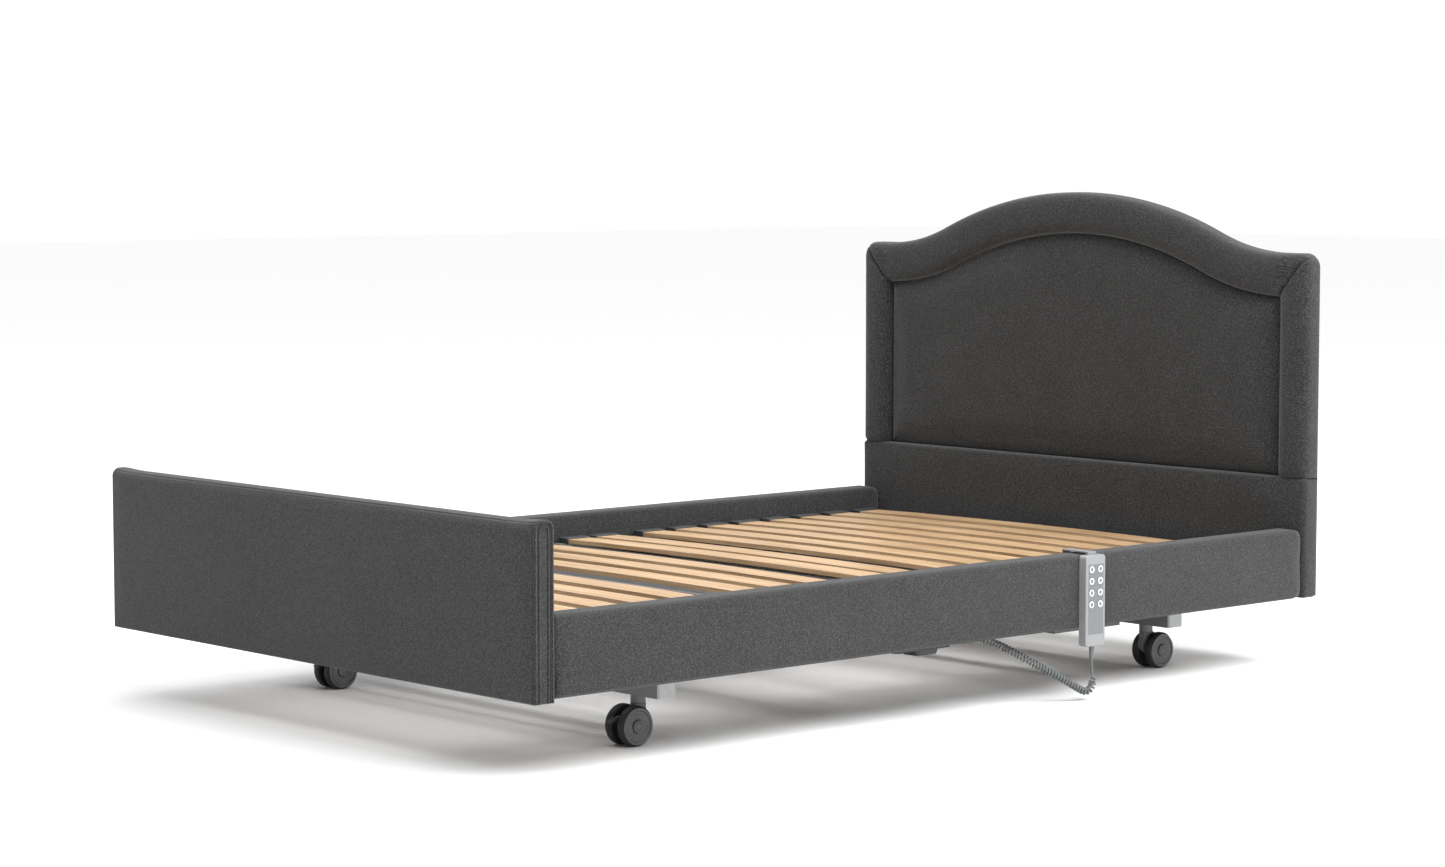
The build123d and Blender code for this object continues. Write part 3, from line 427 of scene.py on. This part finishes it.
def turned(profile, centre, sides=48):
    """Grid of a shape turned about a line along X; profile is (x, radius) pairs."""
    angles = np.linspace(0, 2 * pi, sides + 1)
    x, r = np.array(profile).T[..., None]
    across = centre[0] + np.broadcast_to(x, (len(profile), sides + 1))
    points = np.stack([across, centre[1] + r * np.cos(angles), centre[2] + r * np.sin(angles)], -1)
    return points, lay_uv(points, 1, 2)


# ---------------------------------------------------------------- cord
# The same route as the CAD tube's: out of the handset, down, and back under the rail to its plug.
CORD_ROUTE = [
    (0.667, 0.344, 0.082),
    (0.667, 0.344, 0.0638),
    (0.667, 0.3468, 0.046),
    (0.667, 0.34834, 0.03621),
    (0.6665, 0.3446, 0.025),
    (0.6655, 0.3349, 0.0185),
    (0.6635, 0.323, 0.0196),
    (0.659, 0.3026, 0.032),
    (0.650, 0.272, 0.050),
    (0.638, 0.243, 0.067),
    (0.623, 0.217, 0.084),
    (0.607, 0.192, 0.101),
    (0.591, 0.166, 0.117),
    (0.576, 0.138, 0.130),
    (0.563, 0.108, 0.139),
    (0.556, 0.080, 0.142),
    (0.556, 0.054, 0.142),
]
CORD_THICK = 4.5 * MM
COIL_STARTS = 0.036
COIL_ENDS = 0.010
COIL_RADIUS = 5.75 * MM
COIL_PITCH = 7.0 * MM
TURN_POINTS = 14


def nurbs(name, points, thickness=0.0):
    """A smooth curve through its end points, round in section when it has a thickness."""
    data = bpy.data.curves.new(name, "CURVE")
    data.dimensions = "3D"
    spline = data.splines.new("NURBS")
    spline.points.add(len(points) - 1)
    for point, place in zip(spline.points, points):
        point.co = (*place, 1.0)
    spline.order_u = 3
    spline.use_endpoint_u = True
    data.resolution_u = 12 if thickness == 0 else 3
    data.bevel_depth = thickness / 2
    data.bevel_resolution = 4
    data.use_fill_caps = thickness > 0
    made = bpy.data.objects.new(name, data)
    scene.collection.objects.link(made)
    return made


def route_points(points):
    """Closely spaced points of the smooth line through a route."""
    guide = nurbs("guide", points)
    bpy.context.view_layer.update()
    mesh = bpy.data.meshes.new_from_object(guide)
    line = coordinates(mesh)
    bpy.data.objects.remove(guide)
    bpy.data.meshes.remove(mesh)
    return line


def curly_line(line):
    """The cord's own line: straight out of the handset, then a helix along the route."""
    along = distances(line)
    total = along[-1]
    turns = (total - COIL_STARTS - COIL_ENDS) / COIL_PITCH
    count = int(turns * TURN_POINTS)
    at = np.linspace(COIL_STARTS, total - COIL_ENDS, count)
    centre = np.stack([np.interp(at, along, line[:, k]) for k in range(3)], 1)
    ahead = np.gradient(centre, axis=0)
    ahead /= np.linalg.norm(ahead, axis=1, keepdims=True)
    normal = np.array([1.0, 0.0, 0.0])
    lead = centre[0] - line[0]
    points = [line[0] + share * lead for share in (0.0, 0.4, 0.8)]
    for index, (place, direction) in enumerate(zip(centre, ahead)):
        normal = normal - direction * normal.dot(direction)
        normal /= np.linalg.norm(normal)
        other = np.cross(direction, normal)
        angle = 2 * pi * index / TURN_POINTS
        opening = min(1.0, index / TURN_POINTS, (count - 1 - index) / TURN_POINTS)
        radius = COIL_RADIUS * opening * opening * (3 - 2 * opening)
        points.append(place + radius * (cos(angle) * normal + sin(angle) * other))
    points.append(line[-1])
    return points


cord = nurbs("handset_cord", curly_line(route_points(CORD_ROUTE)), CORD_THICK)
cord.data.materials.append(FINISHES["cord_rubber"])
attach(cord, "deck")
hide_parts("cord_lead", "cord_coil")

# ---------------------------------------------------------------- side rails
RAIL_EDGE = 9 * MM
RAIL_HEAD_CORNER = 22 * MM
GRID_STEP = 14 * MM
HELD_STRIP = 4 * MM  # stapled lower edge of each cover
BOARD_PRESSURE = 2.5
RAIL_SWELL = 3 * MM

for side in ("left", "right"):
    low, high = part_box(f"side_rail_{side}")
    grids = slab_grids(low, high, RAIL_EDGE, GRID_STEP)
    for points, _ in grids:
        for corner_z, direction in ((high.z - RAIL_HEAD_CORNER, 1), (low.z + RAIL_HEAD_CORNER, -1)):
            centre = (high.y - RAIL_HEAD_CORNER, corner_z)
            round_corner(points, centre, (1, direction), RAIL_HEAD_CORNER, 1, 2)
    rail = mesh_from_grids(f"rail_cover_{side}", grids, CHARCOAL)
    held_z = low.z + HELD_STRIP
    swell(rail, lambda p, held_z=held_z: p[:, 2] < held_z, BOARD_PRESSURE, RAIL_SWELL)
    upholstered(rail, f"side_rail_{side}")

# ---------------------------------------------------------------- footboard
foot_low, foot_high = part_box("footboard")
FOOT_EDGE = 5 * MM
FOOT_TOP = 16 * MM
FOOT_HELD_END = 12 * MM
FOOT_SWELL = 2.5 * MM
grids = slab_grids(foot_low, foot_high, FOOT_EDGE, GRID_STEP)
for points, _ in grids:
    for centre_y, direction in ((foot_low.y + FOOT_TOP, -1), (foot_high.y - FOOT_TOP, 1)):
        round_corner(points, (centre_y, foot_high.z - FOOT_TOP), (direction, 1), FOOT_TOP, 1, 2)
footboard = mesh_from_grids("footboard_cover", grids, CHARCOAL)


def footboard_held(points):
    """The two ends, where the pipings sit, and the lower edge."""
    at_end = np.abs(points[:, 0]) > foot_high.x - FOOT_HELD_END
    return at_end | (points[:, 2] < foot_low.z + HELD_STRIP)


swell(footboard, footboard_held, BOARD_PRESSURE, FOOT_SWELL)
upholstered(footboard, "footboard")

PIPINGS = (("outer", 4.0 * MM, 3.0 * MM), ("inner", 12.5 * MM, 2.4 * MM))  # name, inset, radius
# the groove between the pipings is filled by a thin dark cord: painted shade
GROOVE_SHADE_INSET = 8.2 * MM
GROOVE_SHADE_R = 1.5 * MM
WELT_ARC = FOOT_TOP - 3 * MM
WELT_FLAT = 1 * MM  # least straight stretch along the top
WELT_STEPS = 24


def welt_path(x, inset):
    """Inverted U round one end of the footboard."""
    left, right, top = foot_low.y + inset, foot_high.y - inset, foot_high.z - inset
    angles = np.linspace(0, pi / 2, 9)
    arc = min(WELT_ARC, (right - left - WELT_FLAT) / 2)
    heights = np.linspace(foot_low.z + 1 * MM, top - arc, WELT_STEPS)
    up = [(x, left, z) for z in heights]
    over = [(x, left + arc - arc * cos(a), top - arc + arc * sin(a)) for a in angles[1:]]
    down = [(x, right - arc + arc * sin(a), top - arc + arc * cos(a)) for a in angles]
    back = [(x, right, z) for z in heights[::-1][1:]]
    return up + over + down + back


def end_cord(name, x, inset, radius, material):
    """One round cord round an end of the footboard. The pipings are cover fabric; the dark lining cord
    between them is painted shade in the groove.
    """
    made = mesh_from_grids(name, [tube_grid(welt_path(x, inset), radius)], material)
    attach(made, "deck")


for side_name, x in (("left", foot_low.x), ("right", foot_high.x)):
    for piping, inset, radius in PIPINGS:
        end_cord(f"footboard_piping_{piping}_{side_name}", x, inset, radius, CHARCOAL)
    # painted shade: a dark cord of lining laid in the groove between the two pipings
    end_cord(f"footboard_groove_shade_{side_name}", x, GROOVE_SHADE_INSET, GROOVE_SHADE_R, LINING_AND_SHADE)

# ---------------------------------------------------------------- headboard
panel_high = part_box("headboard_panel")[1]
border_low, border_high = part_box("headboard_border")
pad_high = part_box("headboard_centre_pad")[1]
HALF_WIDTH = border_high.x
PEAK_Z = border_high.z
SEAM_Z = border_low.z
FRONT_Y = border_low.y
PANEL_Y = border_high.y
BACK_Y = panel_high.y
WRAP_Y = BACK_Y + 0.6 * MM
ARCH_R = 1.0  # arch in the middle of the top edge
SWEEP_R = 0.466  # hollow sweep on each side of the arch
SHOULDER_Z = 0.863  # lowest place of a sweep
BORDER_TOP = 91 * MM
INNER_HALF = pad_high.x + 1 * MM
OUTER_CORNER = 30 * MM
INNER_CORNER = 12 * MM
ARCH_Z = PEAK_Z - ARCH_R
SWEEP_Z = SHOULDER_Z + SWEEP_R
SWEEP_TURN = acos((SWEEP_Z - ARCH_Z) / (ARCH_R + SWEEP_R))
SWEEP_X = (ARCH_R + SWEEP_R) * sin(SWEEP_TURN)
ROLL_DEPTH = PANEL_Y - FRONT_Y + 4 * MM
COUNTS = {"side": 44, "corner": 33, "sweep": 46, "arch": 84}  # points in each run of an outline


def half_outline(half_width, inset, corner):
    """Right half of an outline parallel to the headboard's edge, from the seam up to the middle.

    The points come in four runs of fixed counts, so two such outlines match point by point.
    """
    reach = half_width - corner
    sweep_r = SWEEP_R + inset
    end_turn = asin(max(0.0, (SWEEP_X - reach) / sweep_r))
    edge_z = SWEEP_Z - sweep_r * cos(end_turn)
    side = [(half_width, z) for z in np.linspace(SEAM_Z, edge_z - corner, COUNTS["side"])]
    turn = np.linspace(0, pi / 2, COUNTS["corner"])[1:-1]
    bend = [(reach + corner * cos(a), edge_z - corner + corner * sin(a)) for a in turn]
    sweep = [
        (SWEEP_X - sweep_r * sin(a), SWEEP_Z - sweep_r * cos(a))
        for a in np.linspace(end_turn, SWEEP_TURN, COUNTS["sweep"])
    ]
    arch_r = ARCH_R - inset
    arch = [
        (arch_r * sin(a), ARCH_Z + arch_r * cos(a))
        for a in np.linspace(SWEEP_TURN, 0, COUNTS["arch"] // 2 + 1)[1:]
    ]
    return np.array(side + bend + sweep + arch)


def outline(half_width, inset, corner):
    """Both halves, from the right seam over the top to the left seam."""
    right = half_outline(half_width, inset, corner)
    left = right[::-1][1:] * (-1, 1)
    return np.concatenate([right, left])


outer = outline(HALF_WIDTH, 0.0, OUTER_CORNER)
inner = outline(INNER_HALF, BORDER_TOP, INNER_CORNER)
MITRE_DEPTH = 6.5 * MM
MITRE_WIDTH = 2.8 * MM
MITRE = COUNTS["side"] + (COUNTS["corner"] - 2) // 2  # middle point of the right corner
mitres = (MITRE, len(outer) - 1 - MITRE)
END_FOLD = 5 * MM


def border_profile():
    """(share of the way in, y, distance along the fabric) from the back wrap to the groove."""
    wrap = [(0.22, WRAP_Y), (0.10, WRAP_Y), (0.05, BACK_Y)]
    wrap += [(0.015, BACK_Y - 2.5 * MM), (0.0, BACK_Y - 6 * MM), (0.0, PANEL_Y + 3 * MM)]
    roll = []
    for angle in np.linspace(0, pi, 25):
        across = 0.5 * (1 - np.sign(cos(angle)) * abs(cos(angle)) ** 0.62)
        rise = abs(sin(angle)) ** 0.5
        roll.append((across, PANEL_Y - ROLL_DEPTH * rise))
    points = np.array(wrap + roll)
    along = distances(points * (BORDER_TOP, 1))
    return np.column_stack([points, along / BORDER_TOP])


def border_grid(profile):
    """The profile carried along both outlines, with a mitre seam at each corner and folded ends."""
    way_in = (inner - outer)[:, None, :]
    plane = outer[:, None, :] + way_in * profile[:, 0][None, :, None]
    laid = outer[:, None, :] + way_in * profile[:, 2][None, :, None]
    y = np.broadcast_to(profile[:, 1], plane.shape[:2]).copy()
    on_front = (profile[:, 1] < PANEL_Y)[None, :]
    for mitre in mitres:
        gap = np.linalg.norm(plane - plane[mitre][None], axis=-1)
        y += MITRE_DEPTH * np.exp(-((gap / MITRE_WIDTH) ** 2)) * on_front
    for end in (0, -1):
        # a point of the other half counts as a metre away, so it stays unfolded
        other_side = np.sign(plane[..., 0]) != np.sign(plane[end][None, :, 0])
        gap = np.abs(plane[..., 1] - plane[end][None, :, 1]) + other_side
        fold = np.clip(1 - gap / END_FOLD, 0, 1)
        y += END_FOLD * (1 - np.sqrt(1 - fold**2)) * on_front
    points = np.stack([plane[..., 0], y, plane[..., 1]], -1)
    return points, laid


BORDER_HELD = 6 * MM
MITRE_REACH = 80 * MM
BORDER_PRESSURE = 1.5
BORDER_SWELL = 2.5 * MM
roll_profile = border_profile()
border = mesh_from_grids("headboard_roll", [border_grid(roll_profile)], CHARCOAL)


def border_held(points):
    """Both mitre seams, the back wrap and the lower ends."""
    near_mitre = np.zeros(len(points), bool)
    for mitre in mitres:
        middle = (outer[mitre] + inner[mitre]) / 2
        along = (inner[mitre] - outer[mitre]) / np.linalg.norm(inner[mitre] - outer[mitre])
        offset = points[:, [0, 2]] - middle
        across = np.abs(offset[:, 0] * along[1] - offset[:, 1] * along[0])
        near_mitre |= (across < BORDER_HELD) & (np.abs(offset @ along) < MITRE_REACH)
    return near_mitre | (points[:, 1] > PANEL_Y - BORDER_HELD) | (points[:, 2] < SEAM_Z + BORDER_HELD)


swell(border, border_held, BORDER_PRESSURE, BORDER_SWELL)
upholstered(border, "headboard_border")

# Dark cord of lining along the bottom of each mitre crease: the seam line, drawn dark as painted shade in
# the crease.
SEAM_SHADE_R = 0.9 * MM
front_row = roll_profile[roll_profile[:, 1] < PANEL_Y - 4 * MM]
for side_name, mitre in zip(("right", "left"), mitres):
    path = []
    for share, y, _ in front_row:
        x, z = outer[mitre] + (inner[mitre] - outer[mitre]) * share
        path.append((x, y + MITRE_DEPTH - SEAM_SHADE_R, z))
    thread = mesh_from_grids(f"mitre_seam_shade_{side_name}", [tube_grid(path, SEAM_SHADE_R, 6)], LINING_AND_SHADE)
    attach(thread, "deck")


PAD_GAP = 0.5 * MM
PAD_EDGE_LINES = np.array([0.0, 0.6, 1.6, 3.2, 5.5, 8.5, 12.5, 18.0]) * MM
PAD_MIDDLE_STARTS = 28 * MM
PAD_COLUMNS = 92
PAD_ROWS = 34
PAD_EDGE_Y = PANEL_Y - 2 * MM
PAD_DEPTH = PANEL_Y - FRONT_Y - 12 * MM
PAD_EDGE_REACH = 8 * MM  # how far from the edge the pad comes up out of the groove
PAD_HELD_Y = PANEL_Y - 9 * MM
PAD_PRESSURE = 3.0
PAD_SWELL = 4 * MM


def pad_lines(low, high, count):
    """Places across the pad: close together near both edges."""
    middle = np.linspace(low + PAD_MIDDLE_STARTS, high - PAD_MIDDLE_STARTS, count)
    return np.concatenate([low + PAD_EDGE_LINES, middle, high - PAD_EDGE_LINES[::-1]])


def centre_pad():
    """Crowned panel inside the border: its edges sink into the groove all round."""
    right = half_outline(INNER_HALF - PAD_GAP, BORDER_TOP + PAD_GAP, INNER_CORNER)
    top_x, top_z = right[COUNTS["side"]:][::-1].T
    edge = pad_high.x
    bottom = SEAM_Z + PAD_GAP
    columns = pad_lines(-edge, edge, PAD_COLUMNS)
    points = np.zeros((len(columns), 2 * len(PAD_EDGE_LINES) + PAD_ROWS, 3))
    for i, x in enumerate(columns):
        height = np.interp(abs(x), top_x, top_z) - bottom
        rows = pad_lines(0.0, height, PAD_ROWS)
        gap = np.minimum(np.minimum(rows, height - rows), edge - abs(x))
        blunt = 1 - np.exp(-((gap / PAD_EDGE_REACH) ** 0.9))
        points[i, :, 0] = x
        points[i, :, 1] = PAD_EDGE_Y - PAD_DEPTH * blunt
        points[i, :, 2] = bottom + rows
    return points, lay_uv(points, 0, 2)


pad = mesh_from_grids("headboard_pad", [centre_pad()], CHARCOAL)
if pad.data.polygons[len(pad.data.polygons) // 2].normal.y > 0:
    pad.data.flip_normals()
swell(pad, lambda p: p[:, 1] > PAD_HELD_Y, PAD_PRESSURE, PAD_SWELL)
upholstered(pad, "headboard_centre_pad")

lower_low, lower_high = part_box("headboard_lower_pad")
LOWER_EDGE = 9 * MM
LOWER_BACK_Y = BACK_Y - 0.2 * MM
LOWER_HELD_TOP = 6 * MM
LOWER_SWELL = 2 * MM
grids = slab_grids(lower_low, (lower_high.x, LOWER_BACK_Y, lower_high.z), LOWER_EDGE, GRID_STEP)
lower = mesh_from_grids("headboard_lower", grids, CHARCOAL)


def lower_held(points):
    """The back wrap and both long edges."""
    at_bottom = points[:, 2] < lower_low.z + HELD_STRIP
    at_top = points[:, 2] > lower_high.z - LOWER_HELD_TOP
    return (points[:, 1] > PANEL_Y) | at_bottom | at_top


swell(lower, lower_held, BOARD_PRESSURE, LOWER_SWELL)
upholstered(lower, "headboard_lower_pad")

# ---------------------------------------------------------------- castor discs
# Section of a disc from its rim to its middle: (height over the wheel's face, radius), in millimetres.
DISC_RINGS = [
    (-0.9, 34.2), (0.1, 33.6), (0.5, 32.4), (0.5, 29.6), (-0.2, 29.0), (-0.2, 28.0), (-1.6, 26.8),
    (-1.9, 25.6), (-1.9, 22.4), (-1.2, 21.8), (-1.2, 20.4), (-2.0, 19.8), (-2.0, 16.6), (-1.4, 16.0),
    (-1.4, 14.6), (-2.3, 13.8), (-2.3, 12.2), (0.4, 11.4), (1.0, 10.4), (1.0, 7.6), (0.4, 7.0),
    (0.4, 6.4), (1.1, 5.6), (1.4, 3.5), (1.5, 0.01),
]
DISC_SINK = 0.5 * MM
SWIVEL_Y = {"foot": -0.646, "head": 0.7495}
COLLAR_RING_Z = 76.2 * MM
COLLAR_RING_R = 13.7 * MM
COLLAR_WIRE_R = 0.9 * MM
for tag in CASTORS:
    for side, outward in (("left", -1), ("right", 1)):
        wheel_low, wheel_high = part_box(f"castor_wheel_{side}_{tag}")
        centre_y = (wheel_low.y + wheel_high.y) / 2
        centre_z = (wheel_low.z + wheel_high.z) / 2
        face_x = wheel_high.x if outward > 0 else wheel_low.x
        profile = [(outward * x * MM, r * MM) for x, r in DISC_RINGS]
        grid = turned(profile, (face_x - outward * DISC_SINK, centre_y, centre_z))
        disc = mesh_from_grids(f"castor_disc_{side}_{tag}", [grid], DISC_GREY)
        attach(disc, BODY_OF[f"castor_wheel_{side}_{tag}"])
    fork_low, fork_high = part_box(f"castor_fork_{tag}")
    swivel_x = (fork_low.x + fork_high.x) / 2
    swivel_y = SWIVEL_Y[tag.split("_")[0]]
    circle = [
        (swivel_x + COLLAR_RING_R * cos(a), swivel_y + COLLAR_RING_R * sin(a), COLLAR_RING_Z)
        for a in np.linspace(0, 2 * pi, 41)
    ]
    ring = mesh_from_grids(f"collar_ring_{tag}", [tube_grid(circle, COLLAR_WIRE_R, 8)], DARK_PRINT)
    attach(ring, BODY_OF[f"castor_fork_{tag}"])

# ---------------------------------------------------------------- handset keys
# Section of a key's raised ring: (height over the key, way in from its edge), in millimetres.
KEY_RING = [(-0.7, 0.1), (0.05, 0.5), (0.3, 1.0), (0.3, 2.1), (0.05, 2.5), (-0.3, 2.6)]
for name in BUTTONS:
    key_low, key_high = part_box(f"button_{name}")
    centre = (key_high.x, (key_low.y + key_high.y) / 2, (key_low.z + key_high.z) / 2)
    radius = (key_high.y - key_low.y) / 2
    profile = [(rise * MM, radius - way_in * MM) for rise, way_in in KEY_RING]
    ring = mesh_from_grids(f"key_ring_{name}", [turned(profile, centre)], PALE_PRINT)
    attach(ring, f"button_{name}")

# ---------------------------------------------------------------- slat holders
HOLDER_X = (556 * MM, 588 * MM)
HOLDER_HALF = 33 * MM
HOLDER_HEIGHT = 12.5 * MM
HOLDER_BELOW = 0.3 * MM
HOLDER_EDGE = 3 * MM
HOLDER_STEP = 30 * MM
SLAT_EDGES_APART = 15 * MM


def slat_middles(node):
    """The y of each slat in a row, from its two long edges, which are its only groups of vertices."""
    ys = np.unique(np.round(coordinates(node.data)[:, 1], 4))
    edges = np.split(ys, np.flatnonzero(np.diff(ys) > SLAT_EDGES_APART) + 1)
    return [(first[0] + second[-1]) / 2 for first, second in zip(edges[::2], edges[1::2])]


for section in ("seat", "backrest", "thigh", "calf"):
    slat_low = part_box(f"{section}_slats")[0]
    grids = []
    for middle_y in slat_middles(NODES[f"{section}_slats"]):
        for x_low, x_high in (HOLDER_X, (-HOLDER_X[1], -HOLDER_X[0])):
            corner_low = (x_low, middle_y - HOLDER_HALF, slat_low.z - HOLDER_BELOW)
            corner_high = (x_high, middle_y + HOLDER_HALF, slat_low.z + HOLDER_HEIGHT)
            grids += slab_grids(corner_low, corner_high, HOLDER_EDGE, HOLDER_STEP)
    holders = mesh_from_grids(f"slat_holders_{section}", grids, FINISHES["motor_plastic"])
    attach(holders, BODY_OF[f"{section}_slats"])

# ---------------------------------------------------------------- studio
floor_mesh = bpy.data.meshes.new("floor")
SPREAD = 30.0
FLOOR_SIGNS = ((-1, -1), (1, -1), (1, 1), (-1, 1))
floor_mesh.from_pydata([(a * SPREAD, b * SPREAD, 0) for a, b in FLOOR_SIGNS], [], [(0, 1, 2, 3)])
floor = bpy.data.objects.new("floor", floor_mesh)
scene.collection.objects.link(floor)
floor_surface = Surface("studio_floor", Base_Color=(0.76, 0.76, 0.76, 1.0), Roughness=0.9)
floor_surface.shader.inputs["Specular IOR Level"].default_value = 0.1
floor_mesh.materials.append(floor_surface.material)


LIGHTS_AIM = Vector((0.0, 0.0, 0.4))


def soft_light(name, place, size, power):
    """Large rectangular area light that faces the middle of the bed."""
    data = bpy.data.lights.new(name, "AREA")
    data.shape = "RECTANGLE"
    data.size, data.size_y = size
    data.energy = power
    made = bpy.data.objects.new(name, data)
    made.location = place
    made.rotation_euler = (LIGHTS_AIM - Vector(place)).to_track_quat("-Z", "Y").to_euler()
    scene.collection.objects.link(made)


soft_light("key", (4.4, 0.6, 4.2), (4.0, 3.0), 470.0)
soft_light("top", (0.0, 0.0, 5.0), (6.0, 6.0), 150.0)

world = bpy.data.worlds.new("studio")
world.use_nodes = True
world_nodes = world.node_tree.nodes
direction = world_nodes.new("ShaderNodeTexCoord")
height = world_nodes.new("ShaderNodeSeparateXYZ")
sky = world_nodes.new("ShaderNodeValToRGB")
# (height, grey): white at eye level, dimmer above it, brightest overhead
SKY = ((0.0, 0.65), (0.05, 0.65), (0.10, 0.16), (0.35, 0.22), (0.62, 1.0))
SKY_STRENGTH = 1.58
while len(sky.color_ramp.elements) < len(SKY):
    sky.color_ramp.elements.new(0.5)
for element, (position, grey) in zip(sky.color_ramp.elements, SKY):
    element.position = position
    element.color = (grey, grey, grey, 1.0)
world.node_tree.links.new(direction.outputs["Generated"], height.inputs[0])
world.node_tree.links.new(height.outputs["Z"], sky.inputs["Fac"])
world.node_tree.links.new(sky.outputs["Color"], world_nodes["Background"].inputs["Color"])
world_nodes["Background"].inputs["Strength"].default_value = SKY_STRENGTH
scene.world = world
scene.view_settings.view_transform = "Standard"
